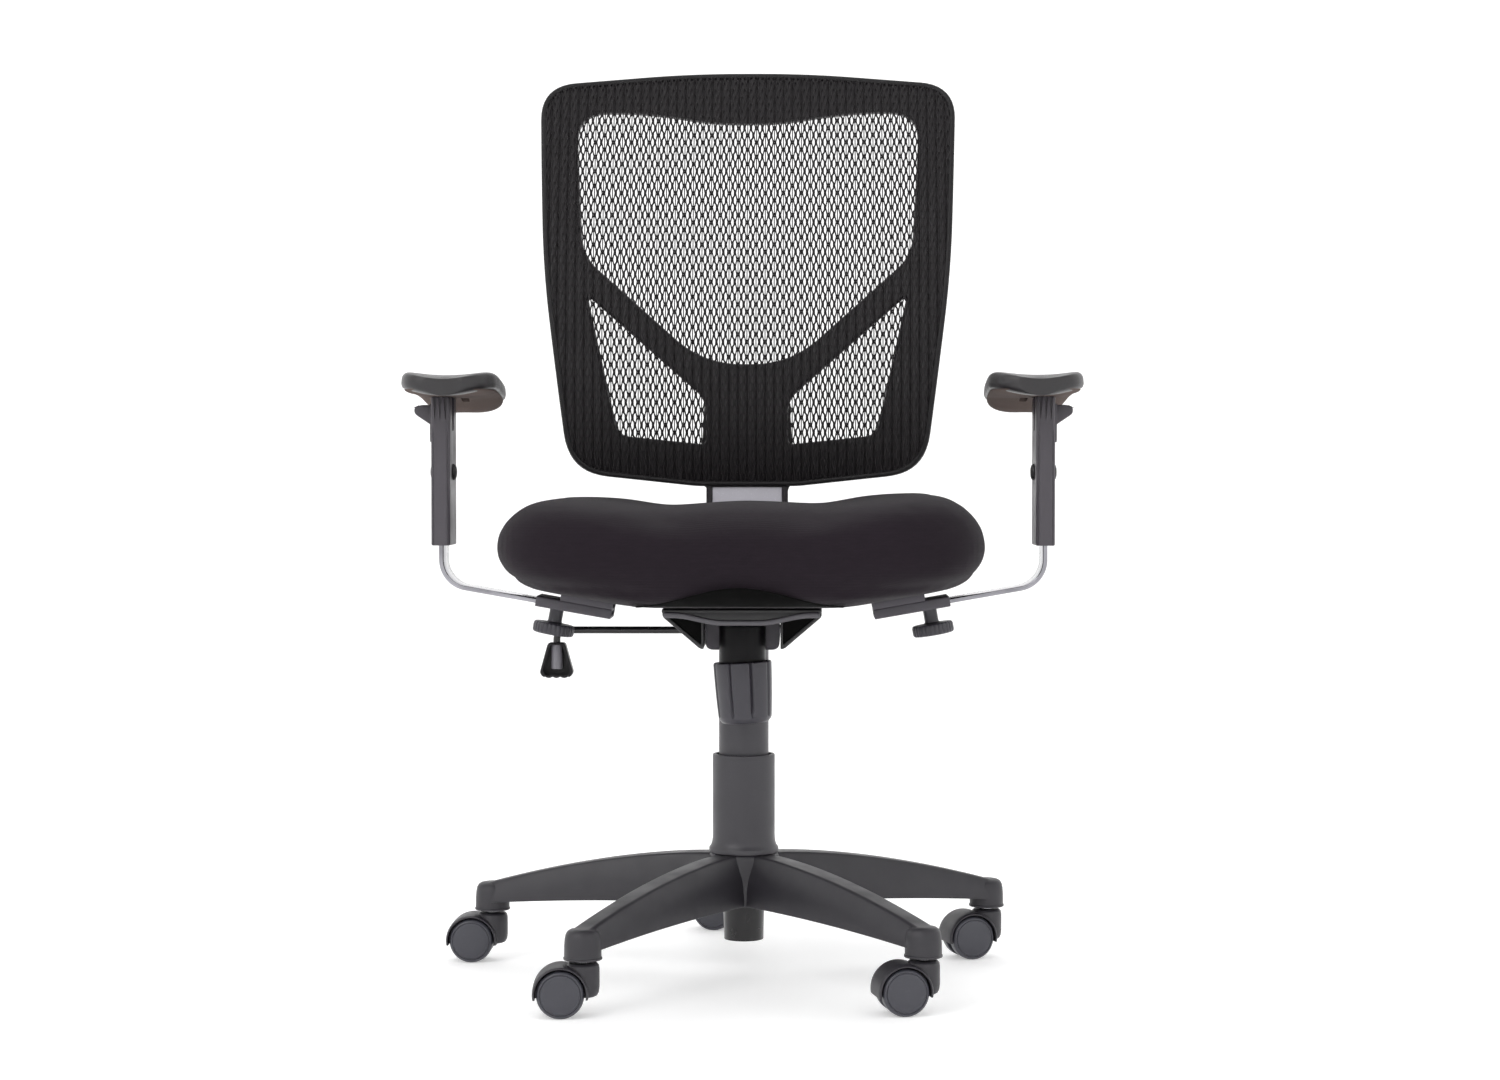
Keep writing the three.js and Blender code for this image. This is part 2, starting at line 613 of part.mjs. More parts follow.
const upperWindow = () => roundedShape(mirroredCorners([
  [40, 987, 30], [125, 1001, 40], [208, 1000, 38], [197, 824, 25], [52, 694, 46]]));

const lowerWindow = (side) => roundedShape(
  [[191, 776, 9], [154, 609, 14], [49, 598, 8], [49, 651, 16]].map(([x, z, r]) => [side * x, z, r]));

function backFrame() {
  const plate = cut(prismY(backOutline(0), FRAME_FRONT, FRAME_FRONT + FRAME_DEPTH),
    ...[upperWindow(), lowerWindow(1), lowerWindow(-1)].map((gap) => prismY(gap, -20, 60)));
  const panel = bent(refined(plate, 80));
  const stem = block(-49, 49, BAR_FRONT - 2, BAR_FRONT + BAR_THICK + 6, 500, 690);
  const pocket = block(-BAR_WIDTH / 2 - GAP, BAR_WIDTH / 2 + GAP, BAR_FRONT - GAP,
    BAR_FRONT + BAR_THICK + GAP, 480, BAR_TOP + 3);
  const mouth = block(-BAR_WIDTH / 2 - GAP, BAR_WIDTH / 2 + GAP, BAR_FRONT - 30, BAR_FRONT + 1, 480, 547);
  return cut(join(panel, stem), pocket, mouth);
}

function backMesh() {
  return bent(refined(prismY(backOutline(3), 0, MESH_THICK), 90));
}

// Flat steel bar: bolted under the seat plate, it turns up behind the seat and carries the back.
function backBar() {
  const low = PLATE_LOW - GAP - BAR_THICK;
  const radius = 36;
  const rear = BAR_FRONT + BAR_THICK;
  const shape = new THREE.Shape();
  shape.moveTo(66, low);
  shape.lineTo(rear - radius, low);
  shape.absarc(rear - radius, low + radius, radius, -Math.PI / 2, 0);
  shape.lineTo(rear, BAR_TOP);
  shape.lineTo(BAR_FRONT, BAR_TOP);
  shape.absarc(rear - radius, low + radius, radius - BAR_THICK, 0, -Math.PI / 2, true);
  shape.lineTo(66, low + BAR_THICK);
  return prismX(shape, -BAR_WIDTH / 2, BAR_WIDTH / 2);
}

// ---------------------------------------------------------------- arms
// Everything below is drawn for the -X side; the other arm is its mirror image.
const strapHeight = (x) => STRAP_REF_Z + (x - STRAP_REF_X) * Math.tan(ARM_SLOPE);

// Corners of the strap's edge line, offset to one side of its middle.
function strapEdge(offset) {
  const [sine, cosine] = [Math.sin(ARM_SLOPE), Math.cos(ARM_SLOPE)];
  const startX = ARM_X - BEND_RADIUS + BEND_RADIUS * sine;
  const centre = [ARM_X - BEND_RADIUS, strapHeight(startX) + BEND_RADIUS * cosine];
  const points = [[STRAP_INNER_X - offset * sine, strapHeight(STRAP_INNER_X) + offset * cosine]];
  for (let k = 0; k <= 6; k += 1) {
    const angle = -Math.PI / 2 + ARM_SLOPE + ((Math.PI / 2 - ARM_SLOPE) * k) / 6;
    const radius = BEND_RADIUS - offset;
    points.push([centre[0] + radius * Math.cos(angle), centre[1] + radius * Math.sin(angle)]);
  }
  points.push([ARM_X - offset, STRAP_TOP]);
  return points.map(([x, z]) => [-x, z]);
}

// Places a piece drawn about the clamp knob's axis, with X along the strap and Z square to it.
const onStrap = (geometry) => geometry.rotateY(ARM_SLOPE).translate(-KNOB_X, ARM_Y, strapHeight(KNOB_X));

const slot = (x0, x1, width) => roundedShape([[x0, -width / 2, width / 2], [x1, -width / 2, width / 2],
  [x1, width / 2, width / 2], [x0, width / 2, width / 2]]);

function armStrap() {
  const half = STRAP_THICK / 2;
  const outline = [...strapEdge(-half), ...strapEdge(half).reverse()];
  const strap = prismY(outline, ARM_Y - STRAP_WIDTH / 2, ARM_Y + STRAP_WIDTH / 2);
  const widthSlot = onStrap(extruded(slot(-37, 27, 9.4), 20).translate(0, 0, -10));
  const heightSlot = block(-ARM_X - 10, -ARM_X + 10, ARM_Y - 4, ARM_Y + 4, BOLT_Z - 4, BOLT_Z + HEIGHT_TRAVEL + 4);
  return cut(strap, widthSlot, heightSlot);
}

// Channel under the seat that the strap slides in, with two feet up to the seat pan.
function armBracket() {
  const [outer, inner] = [-22.5, 62];
  const body = block(outer, inner, -30, 30, -5.8, 5.8);
  const feet = [-30, 24].map((y) => block(4, inner, y, y + 6, 5, 13.5));
  const way = block(outer - 5, inner + 5, -STRAP_WIDTH / 2 - GAP, STRAP_WIDTH / 2 + GAP,
    -STRAP_THICK / 2 - GAP, STRAP_THICK / 2 + GAP);
  const hole = disc(4.4, -20, 4.6, 12);
  return onStrap(cut(join(body, ...feet), way, hole));
}

// Clamp knob square to the strap: a fluted disc, a neck and the screw that clamps the strap.
function widthKnob() {
  const outline = new THREE.Shape();
  const lobes = 14;
  for (let k = 0; k < lobes * 2; k += 1) {
    const radius = k % 2 ? 23 : 21.8;
    const angle = (Math.PI * k) / lobes;
    const move = k ? 'lineTo' : 'moveTo';
    outline[move](radius * Math.cos(angle), radius * Math.sin(angle));
  }
  const grip = extruded(outline, 11).translate(0, 0, -35);
  const neck = disc(8, -25, -6.2, 12);
  const screw = disc(4, -10, 4.2, 10);
  return onStrap(join(grip, neck, screw));
}

function armPost() {
  const post = block(-ARM_X - POST_HALF, -ARM_X + POST_HALF, ARM_Y - POST_DEPTH / 2, ARM_Y + POST_DEPTH / 2,
    POST_LOW, POST_TOP);
  const way = block(-ARM_X - STRAP_THICK / 2 - GAP, -ARM_X + STRAP_THICK / 2 + GAP,
    ARM_Y - STRAP_WIDTH / 2 - GAP, ARM_Y + STRAP_WIDTH / 2 + GAP, POST_LOW - 5, STRAP_TOP + 2);
  const hole = alongX(disc(3 + GAP, -20, 20, 10)).translate(-ARM_X, ARM_Y, BOLT_Z);
  return cut(post, way, hole);
}

function postBolt() {
  const cap = POST_HALF + GAP;
  const turn = turned([[0, -cap - 3.6], [6, -cap - 3.2], [9, -cap], [3, -cap], [3, cap],
    [9, cap], [6, cap + 3.2], [0, cap + 3.6]], 12);
  return alongX(turn).translate(-ARM_X, ARM_Y, BOLT_Z);
}

function heightTrigger() {
  const face = -ARM_X - POST_HALF - GAP;
  const plate = block(face - 3, face, ARM_Y - 13, ARM_Y + 13, 598, 641);
  const fin = prismY([[face - 1, 638], [face - 15, 637.5], [face - 20, 634], [face - 19.5, 629],
    [face - 1, 617]], ARM_Y - 7, ARM_Y + 7);
  return join(plate, fin);
}

const padStations = [-1, -0.96, -0.86, -0.68, -0.36, 0, 0.36, 0.68, 0.86, 0.96, 1];
const padHalfWidth = (t) => (49.5 - 3.5 * t) * (1 - 0.93 * Math.abs(t) ** 5) ** (1 / 3);
const padY = (t) => PAD_MIDDLE_Y + PAD_HALF_LENGTH * t;

function padTop() {
  const rings = padStations.map((t) => {
    const half = padHalfWidth(t);
    const tall = (1 - 0.75 * Math.abs(t) ** 6) ** 0.5;
    const rise = (height) => PAD_SPLIT + 4 + (height - 4) * tall;
    return [[-0.9, 0], [0.9, 0], [1, 8], [0.98, 15], [0.88, 19], [0.5, 15.5], [0, 14], [-0.5, 15.5],
      [-0.88, 19], [-0.98, 15], [-1, 8]].map(([x, z]) => [-PAD_X + x * half, padY(t), rise(z)]);
  });
  return loft(rings, rings[0].map(([x, , z]) => [x, z]));
}

// Lowest height of the pad's shell along its length: level over the post, deeper behind it.
function shellLow(y) {
  const behind = THREE.MathUtils.smoothstep(y, ARM_Y + 38, 55);
  const tail = THREE.MathUtils.smoothstep(y, 60, 100);
  const nose = THREE.MathUtils.smoothstep(-y, 90, 150);
  return POST_TOP + GAP - 15 * behind + 9 * tail + 3.5 * nose;
}

function padShell() {
  const stations = [-1, -0.95, -0.8, -0.5, 0.19, 0.4, 0.6, 0.76, 0.9, 1];
  const top = PAD_SPLIT - GAP;
  const rings = stations.map((t) => {
    const half = padHalfWidth(t) * 0.93;
    const deep = top - shellLow(padY(t));
    return [[-1, 0], [-0.93, -0.45], [-0.68, -0.85], [-0.4, -1], [0.4, -1], [0.68, -0.85], [0.93, -0.45],
      [1, 0]].map(([x, z]) => [-PAD_X + x * half, padY(t), top + z * deep]);
  });
  return loft(rings, rings[0].map(([x, , z]) => [x, z]));
}

function arm(parent, hand, side) {
  const group = new THREE.Group();
  group.scale.x = side;
  parent.add(group);
  add(group, `arm_strap_${hand}`, armStrap(), chrome());
  add(group, `arm_bracket_${hand}`, armBracket(), blackSteel());
  add(group, `width_knob_${hand}`, widthKnob(), smoothPlastic());
  add(group, `arm_post_${hand}`, armPost(), smoothPlastic());
  add(group, `post_bolt_${hand}`, postBolt(), darkPlastic());
  add(group, `height_trigger_${hand}`, heightTrigger(), smoothPlastic());
  add(group, `pad_shell_${hand}`, padShell(), padUnderside());
  add(group, `pad_top_${hand}`, padTop(), foamPad());
}

// ---------------------------------------------------------------- assembly
add(chair, 'star_base', starBase(), nylon());
add(chair, 'column_tube', columnTube(), blackSteel());
add(chair, 'guide_bush', guideBush(), darkPlastic());
add(chair, 'thrust_bearing', ring(13, ROD_RADIUS + GAP, 43.2, 47.6, 16), brightSteel());
add(chair, 'cover_lower', lowerCover(), smoothPlastic());
add(chair, 'piston_rod', pistonRod(), brightSteel());
add(chair, 'pressure_tube', pressureTube(), brightSteel());
add(chair, 'cover_upper', ring(28, 26, COLUMN_TOP, HOUSING_LOW - GAP, 24), smoothPlastic());
add(chair, 'valve_pin', disc(3, 365, 380.7, 12), brightSteel());
CASTER_YAWS.forEach((yaw, k) => caster(chair, k + 1, yaw));

add(chair, 'tilt_housing', tiltHousing(), blackSteel());
add(chair, 'spring_barrel', springBarrel(), blackSteel());
add(chair, 'tilt_spring', tiltSpring(), brightSteel());
const pivotPin = alongX(disc(5, -48, 48, 14));
add(chair, 'tilt_pivot_pin', pivotPin.translate(0, PIVOT_Y, PIVOT_Z), brightSteel());

const knobGroup = new THREE.Group();
knobGroup.position.set(0, BARREL_Y, BARREL_LOW + 5);
knobGroup.rotation.y = KNOB_LEAN;
chair.add(knobGroup);
add(knobGroup, 'tension_knob', tensionKnob(), smoothPlastic());
add(knobGroup, 'tension_bolt', tensionBolt(), brightSteel());

const leverGroup = new THREE.Group();
leverGroup.position.set(-39, LEVER_Y, LEVER_Z);
chair.add(leverGroup);
add(leverGroup, 'lever_rod', leverRod(), blackSteel());
add(leverGroup, 'lever_paddle', leverPaddle().translate(39 - LEVER_REACH, 0, 0), smoothPlastic());

add(chair, 'seat_plate', seatPlate(), blackSteel());
add(chair, 'seat_pan', seatPan(), darkPlastic());
add(chair, 'seat_cushion', seatCushion(), fabric());
add(chair, 'back_bar', backBar(), greySteel());
add(chair, 'back_frame', backFrame(), darkPlastic());
add(chair, 'back_mesh', backMesh(), meshCloth());
arm(chair, 'right', 1);
arm(chair, 'left', -1);

export default chair;
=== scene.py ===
"""Swivel office chair with a mesh back: its looks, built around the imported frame.

Metres, +Z up, the sitter faces -Y. Shapes are drawn in millimetres from the column's axis, as the
CAD draws them, and at() turns such a point into metres.
"""
import json
import math

import bmesh
import bpy
from mathutils import Matrix, Vector
from mathutils.geometry import delaunay_2d_cdt


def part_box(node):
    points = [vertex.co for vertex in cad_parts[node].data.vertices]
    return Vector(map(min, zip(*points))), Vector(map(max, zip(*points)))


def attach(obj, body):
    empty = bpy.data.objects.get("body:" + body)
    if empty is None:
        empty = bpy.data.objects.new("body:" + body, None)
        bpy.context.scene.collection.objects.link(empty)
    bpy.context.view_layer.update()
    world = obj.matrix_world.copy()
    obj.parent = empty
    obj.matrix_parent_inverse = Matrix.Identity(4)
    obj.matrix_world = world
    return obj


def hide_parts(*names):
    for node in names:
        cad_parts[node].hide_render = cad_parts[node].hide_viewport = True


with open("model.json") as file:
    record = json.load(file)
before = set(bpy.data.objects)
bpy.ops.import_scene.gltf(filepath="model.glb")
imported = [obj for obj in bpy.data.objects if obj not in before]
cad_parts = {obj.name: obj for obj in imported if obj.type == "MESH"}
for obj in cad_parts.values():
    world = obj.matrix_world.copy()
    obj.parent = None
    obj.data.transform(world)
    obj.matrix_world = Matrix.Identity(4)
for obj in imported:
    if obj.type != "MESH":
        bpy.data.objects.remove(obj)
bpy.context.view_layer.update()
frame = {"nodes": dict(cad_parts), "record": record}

MM = 0.001
Y_AXIS = Vector((0, 1, 0))
SHARP = 32  # degrees between two faces from which their edge stays sharp


def middle(node):
    low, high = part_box(node)
    return (Vector(low) + Vector(high)) / 2


COLUMN = middle("column_tube")
BODY_OF = {node: body for body, nodes in frame["record"]["behaviour"]["bodies"].items() for node in nodes}
SLOT_OF = {part["node"]: part["material_slot"] for part in frame["record"]["subparts"]}


def at(x, y, z):
    """A point in metres from millimetres measured from the column's axis and the floor."""
    return Vector((COLUMN.x + x * MM, COLUMN.y + y * MM, z * MM))


# ---------------------------------------------------------------- camera
CAMERA_DISTANCE = 3127
CAMERA_HEIGHT = 565
CAMERA_ASIDE = 7
CAMERA_AZIMUTH = math.radians(1)
CAMERA_TILT = math.radians(1.4)


def make_camera():
    data = bpy.data.cameras.new("camera")
    data.sensor_width = 36
    data.lens = 66.7
    data.clip_end = 50
    camera = bpy.data.objects.new("camera", data)
    bpy.context.collection.objects.link(camera)
    sine, cosine = math.sin(CAMERA_AZIMUTH), math.cos(CAMERA_AZIMUTH)
    camera.location = at(CAMERA_DISTANCE * sine + CAMERA_ASIDE, -CAMERA_DISTANCE * cosine, CAMERA_HEIGHT)
    camera.rotation_euler = (math.pi / 2 - CAMERA_TILT, 0, CAMERA_AZIMUTH)
    bpy.context.scene.camera = camera


make_camera()


# ---------------------------------------------------------------- outlines, in millimetres
def rounded(corners, steps=6):
    """A closed outline through [x, y, reach] corners, each cut by a quadratic curve of that reach."""
    count = len(corners)
    out = []
    for k in range(count):
        here = Vector(corners[k][:2])
        reach = corners[k][2] if len(corners[k]) > 2 else 0
        if reach <= 0:
            out.append(here)
            continue
        start = here + (Vector(corners[k - 1][:2]) - here).normalized() * reach
        end = here + (Vector(corners[(k + 1) % count][:2]) - here).normalized() * reach
        for i in range(steps + 1):
            t = i / steps
            out.append(start * (1 - t) ** 2 + here * 2 * t * (1 - t) + end * t * t)
    return out


def mirrored(half):
    return [*half, *[[-x, *rest] for x, *rest in reversed(half)]]


def spread(ring, step):
    """The same outline with its long sides divided."""
    out = []
    for k, point in enumerate(ring):
        after = ring[(k + 1) % len(ring)]
        parts = max(1, round((after - point).length / step))
        out += [point.lerp(after, i / parts) for i in range(parts)]
    return out


def signed_area(ring):
    return sum(a.x * b.y - b.x * a.y for a, b in zip(ring, ring[1:] + ring[:1])) / 2


def wound(ring, anticlockwise):
    ring = [Vector(point[:2]) for point in ring]
    return ring if (signed_area(ring) > 0) == anticlockwise else ring[::-1]


def inset(ring, amount):
    """Moves a ring to its left: an outer ring shrinks and a hole, wound the other way, grows."""
    out = []
    for k, here in enumerate(ring):
        a = (here - ring[k - 1]).normalized()
        b = (ring[(k + 1) % len(ring)] - here).normalized()
        normal = Vector((-a.y - b.y, a.x + b.x)).normalized()
        out.append(here + normal * (amount / max(normal.dot(Vector((-a.y, a.x))), 0.35)))
    return out


def inside(x, y, rings):
    """Whether a point is inside an odd number of the rings."""
    odd = False
    for ring in rings:
        for a, b in zip(ring, ring[1:] + ring[:1]):
            if (a.y > y) != (b.y > y) and x < a.x + (y - a.y) * (b.x - a.x) / (b.y - a.y):
                odd = not odd
    return odd


def through(points, samples, closed=True):
    """A Catmull-Rom curve through points of any dimension."""
    count = len(points)
    out = []
    for i in range(count if closed else count - 1):
        if closed:
            near = [points[(i + k) % count] for k in (-1, 0, 1, 2)]
        else:
            near = [points[min(max(i + k, 0), count - 1)] for k in (-1, 0, 1, 2)]
        p, q, r, s = (Vector(point) for point in near)
        for k in range(samples):
            t = k / samples
            out.append((2 * q + (r - p) * t + (2 * p - 5 * q + 4 * r - s) * t ** 2
                        + (3 * q - p - 3 * r + s) * t ** 3) / 2)
    if not closed:
        out.append(Vector(points[-1]))
    return out


def smoothstep(value, low, high):
    t = min(max((value - low) / (high - low), 0), 1)
    return t * t * (3 - 2 * t)


# ---------------------------------------------------------------- meshes
def solid(bm, name, sharp=SHARP):
    """A linked object from a bmesh drawn in millimetres: welded, facing out, with its sharp edges kept."""
    bmesh.ops.remove_doubles(bm, verts=bm.verts, dist=2e-3)
    bmesh.ops.recalc_face_normals(bm, faces=bm.faces)
    for vert in bm.verts:
        vert.co = at(*vert.co)
    mesh = bpy.data.meshes.new(name)
    bm.to_mesh(mesh)
    bm.free()
    return linked(name, mesh, sharp)


def linked(name, mesh, sharp=SHARP):
    mesh.polygons.foreach_set("use_smooth", [True] * len(mesh.polygons))
    mesh.set_sharp_from_angle(angle=math.radians(sharp))
    piece = bpy.data.objects.new(name, mesh)
    bpy.context.collection.objects.link(piece)
    return piece


def skin(bm, rings, loop=False):
    """Faces through equal rings of points, with capped ends or looped back on itself."""
    rows = [[bm.verts.new(point) for point in ring] for ring in rings]
    pairs = list(zip(rows, rows[1:])) + ([(rows[-1], rows[0])] if loop else [])
    for low, high in pairs:
        for j in range(len(low)):
            k = (j + 1) % len(low)
            bm.faces.new((low[j], low[k], high[k], high[j]))
    if not loop:
        bm.faces.new(rows[0][::-1])
        bm.faces.new(rows[-1])


def loft(name, rings, loop=False, sharp=SHARP, change=None):
    bm = bmesh.new()
    skin(bm, [[change @ Vector(p) for p in ring] for ring in rings] if change else rings, loop)
    return solid(bm, name, sharp)


def lathe(name, profile, change=None, segments=64, sharp=SHARP, radius_at=None):
    """Turns [radius, height] corners about Z, then moves the piece by the matrix change."""
    change = change or Matrix()
    bm = bmesh.new()
    rows = []
    for radius, height in profile:
        if radius < 1e-4:
            rows.append([bm.verts.new(change @ Vector((0, 0, height)))])
            continue
        row = []
        for k in range(segments):
            angle = 2 * math.pi * k / segments
            r = radius_at(radius, height, angle) if radius_at else radius
            row.append(bm.verts.new(change @ Vector((r * math.cos(angle), r * math.sin(angle), height))))
        rows.append(row)
    for low, high in zip(rows, rows[1:]):
        for k in range(segments):
            j = (k + 1) % segments
            if len(low) > 1 and len(high) > 1:
                bm.faces.new((low[k], low[j], high[j], high[k]))
            elif len(high) > 1:
                bm.faces.new((low[0], high[j], high[k]))
            elif len(low) > 1:
                bm.faces.new((low[k], low[j], high[0]))
    return solid(bm, name, sharp)


TURNS = {
    "XZ": lambda x, y, depth: Vector((x, depth, y)),
    "YZ": lambda x, y, depth: Vector((depth, x, y)),
    "XY": lambda x, y, depth: Vector((x, y, depth)),
}


def prism(name, outline, low, high, holes=(), edge=0.0, plane="XZ", grid=None, shape=None, change=None,
          edge_steps=3):
    """A flat outline with holes, pushed square to its plane from low to high, with rounded edges.

    grid adds points inside the flat faces, so that shape can bend the piece.
    """
    rings = [wound(outline, True), *[wound(hole, False) for hole in holes]]
    if grid:
        rings = [spread(ring, grid) for ring in rings]
    inner = [inset(ring, edge) for ring in rings] if edge else rings
    bm = bmesh.new()
    turn = TURNS[plane]

    def vert(point, depth):
        spot = turn(point[0], point[1], depth)
        spot = shape(spot) if shape else spot
        return bm.verts.new(change @ spot if change else spot)

    corners, edges = [], []
    for ring in inner:
        first = len(corners)
        corners += ring
        edges += [(first + k, first + (k + 1) % len(ring)) for k in range(len(ring))]
    if grid:
        xs, ys = [p.x for p in inner[0]], [p.y for p in inner[0]]
        for i in range(int(min(xs) // grid), int(max(xs) // grid) + 1):
            for j in range(int(min(ys) // grid), int(max(ys) // grid) + 1):
                spot = Vector(((i + 0.5 * (j % 2)) * grid, j * grid))
                near = min((spot - p).length_squared for ring in inner for p in ring)
                if near > (grid * 0.45) ** 2 and inside(spot.x, spot.y, inner):
                    corners.append(spot)
    places, _, faces, *_ = delaunay_2d_cdt(corners, edges, [], 0, 1e-5)
    tops, bases = [vert(p, high) for p in places], [vert(p, low) for p in places]
    for face in faces:
        centre = sum((places[k] for k in face), Vector((0, 0))) / len(face)
        if inside(centre.x, centre.y, inner):
            bm.faces.new([tops[k] for k in face])
            bm.faces.new([bases[k] for k in reversed(face)])
    levels = []
    steps = edge_steps if edge else 0
    for k in range(steps + 1):
        angle = math.pi / 2 * k / max(steps, 1)
        levels.append((edge * (1 - math.sin(angle)), low + edge * (1 - math.cos(angle))))
    levels += [(amount, low + high - depth) for amount, depth in reversed(levels)]
    for ring in rings:
        rows = [[vert(p, depth) for p in (inset(ring, amount) if amount else ring)]
                for amount, depth in levels]
        for one, two in zip(rows, rows[1:]):
            for j in range(len(one)):
                k = (j + 1) % len(one)
                bm.faces.new((one[j], one[k], two[k], two[j]))
    return solid(bm, name)


def sweep(name, path, section, loop=False, sharp=SHARP):
    """Carries a section of (side, up) offsets along a path."""
    rings = []
    for i, point in enumerate(path):
        if loop:
            along = (path[(i + 1) % len(path)] - path[i - 1]).normalized()
        else:
            along = (path[min(i + 1, len(path) - 1)] - path[max(i - 1, 0)]).normalized()
        side = along.cross(Y_AXIS).normalized()
        over = side.cross(along).normalized()
        rings.append([point + side * a + over * b for a, b in section])
    return loft(name, rings, loop=loop, sharp=sharp)


def ellipse(half_wide, half_high, count):
    turn = 2 * math.pi / count
    return [(half_wide * math.cos(turn * k), half_high * math.sin(turn * k)) for k in range(count)]


def applied(piece):
    """Turns a piece's modifiers into mesh."""
    graph = bpy.context.evaluated_depsgraph_get()
    mesh = bpy.data.meshes.new_from_object(piece.evaluated_get(graph))
    piece.modifiers.clear()
    piece.data = mesh
    return piece


def combine(target, operation, *tools):
    """Joins tools to a piece, cuts them away or keeps what is common, and removes the tools."""
    for tool in tools:
        modifier = target.modifiers.new("boolean", "BOOLEAN")
        modifier.operation = operation
        modifier.solver = "EXACT"
        modifier.object = tool
        applied(target)
        bpy.data.objects.remove(tool)
        if not target.data.polygons:
            raise RuntimeError(f"{target.name} came out empty")
    target.data.polygons.foreach_set("use_smooth", [True] * len(target.data.polygons))
    target.data.set_sharp_from_angle(angle=math.radians(SHARP))
    return target


def softened(piece, width):
    """Rounds the sharp edges that cutting has left."""
    modifier = piece.modifiers.new("edges", "BEVEL")
    modifier.width = width * MM
    modifier.segments = 2
    modifier.limit_method = "ANGLE"
    modifier.angle_limit = math.radians(35)
    normals = piece.modifiers.new("normals", "WEIGHTED_NORMAL")
    normals.keep_sharp = True
    return applied(piece)


def merged(name, *pieces):
    """One piece from several that touch or overlap."""
    bm = bmesh.new()
    for piece in pieces:
        bm.from_mesh(piece.data)
        bpy.data.objects.remove(piece)
    mesh = bpy.data.meshes.new(name)
    bm.to_mesh(mesh)
    bm.free()
    return linked(name, mesh)


def copied(piece, name, change):
    """A copy of a piece, moved by a matrix in millimetres from the column's axis."""
    from_axis = Matrix.Translation((COLUMN.x, COLUMN.y, 0)) @ Matrix.Scale(MM, 4)
    mesh = piece.data.copy()
    mesh.transform(from_axis @ change @ from_axis.inverted())
    return linked(name, mesh)


def reflected(piece, name):
    """The mirror image of a piece in the plane through the column, with its faces turned back out."""
    mesh = piece.data.copy()
    centre = Matrix.Translation(Vector((COLUMN.x, 0, 0)))
    mesh.transform(centre @ Matrix.Diagonal((-1, 1, 1, 1)) @ centre.inverted())
    mesh.flip_normals()
    return linked(name, mesh)


def cylinder(radius, low, high, change=None, segments=48):
    return lathe("cutter", [[0, low], [radius, low], [radius, high], [0, high]], change, segments)


def block(x0, x1, y0, y1, z0, z1):
    return prism("cutter", [(x0, y0), (x1, y0), (x1, y1), (x0, y1)], z0, z1, plane="XY")


def along_x(y, z):
    return Matrix.Translation((0, y, z)) @ Matrix.Rotation(math.pi / 2, 4, "Y")


def hexagonal(socket):
    """A radius_at for lathe() that turns the circles of this radius into hexagons."""
    def radius_at(radius, height, angle):
        if radius != socket:
            return radius
        return radius / math.cos((angle + math.pi / 6) % (math.pi / 3) - math.pi / 6)

    return radius_at


# ---------------------------------------------------------------- materials
def srgb(*levels):
    """A linear colour from sRGB bytes."""
    return tuple(c / 255 / 12.92 if c < 11 else ((c / 255 + 0.055) / 1.055) ** 2.4 for c in levels) + (1.0,)


def shade(colour, factor):
    return tuple(min(c * factor, 1.0) for c in colour[:3]) + (1.0,)


class Look:
    """A material being built: a Principled shader and short calls that add nodes to it."""

    def __init__(self, name, **constants):
        self.material = bpy.data.materials.new(name)
        self.material.use_nodes = True
        self.tree = self.material.node_tree
        self.shader = self.tree.nodes["Principled BSDF"]
        for key, value in constants.items():
            self.shader.inputs[key.replace("_", " ")].default_value = value
        self.place = self.node("TexCoord").outputs["Object"]

    def node(self, kind, settings=None, **inputs):
        node = self.tree.nodes.new("ShaderNode" + kind)
        for key, value in (settings or {}).items():
            setattr(node, key, value)
        for key, value in inputs.items():
            self.feed(node.inputs[key.replace("_", " ")], value)
        return node

    def feed(self, socket, value):
        if isinstance(value, bpy.types.NodeSocket):
            self.tree.links.new(value, socket)
        else:
            socket.default_value = value

    def set(self, **inputs):
        for key, value in inputs.items():
            self.feed(self.shader.inputs[key.replace("_", " ")], value)

    def noise(self, scale, detail=3.0, place=None):
        return self.node("TexNoise", Vector=place or self.place, Scale=scale, Detail=detail,
                         Roughness=0.5).outputs["Fac"]

    def cells(self, scale, feature):
        return self.node("TexVoronoi", {"feature": feature}, Vector=self.place,
                         Scale=scale).outputs["Distance"]

    def stretched(self, x, y, z):
        """Coordinates multiplied along each axis."""
        return self.node("Mapping", Vector=self.place, Scale=(x, y, z)).outputs["Vector"]

    def fit(self, value, low, high, new_low=0.0, new_high=1.0):
        return self.node("MapRange", Value=value, From_Min=low, From_Max=high, To_Min=new_low,
                         To_Max=new_high).outputs["Result"]

    def sum(self, a, b, operation="ADD"):
        node = self.node("Math", {"operation": operation})
        self.feed(node.inputs[0], a)
        self.feed(node.inputs[1], b)
        return node.outputs[0]

    def blend(self, factor, a, b):
        node = self.node("Mix", {"data_type": "RGBA"})
        for index, value in ((0, factor), (6, a), (7, b)):
            self.feed(node.inputs[index], value)
        return node.outputs[2]

    def bump(self, height, depth, normal=None):
        """A bump whose height from 0 to 1 stands for depth millimetres."""
        node = self.node("Bump", Height=height, Distance=depth * MM, Strength=1.0)
        if normal:
            self.feed(node.inputs["Normal"], normal)
        return node.outputs["Normal"]

    def edges(self):
        """1 on ridges and 0 on flat faces."""
        return self.fit(self.node("NewGeometry").outputs["Pointiness"], 0.52, 0.6)


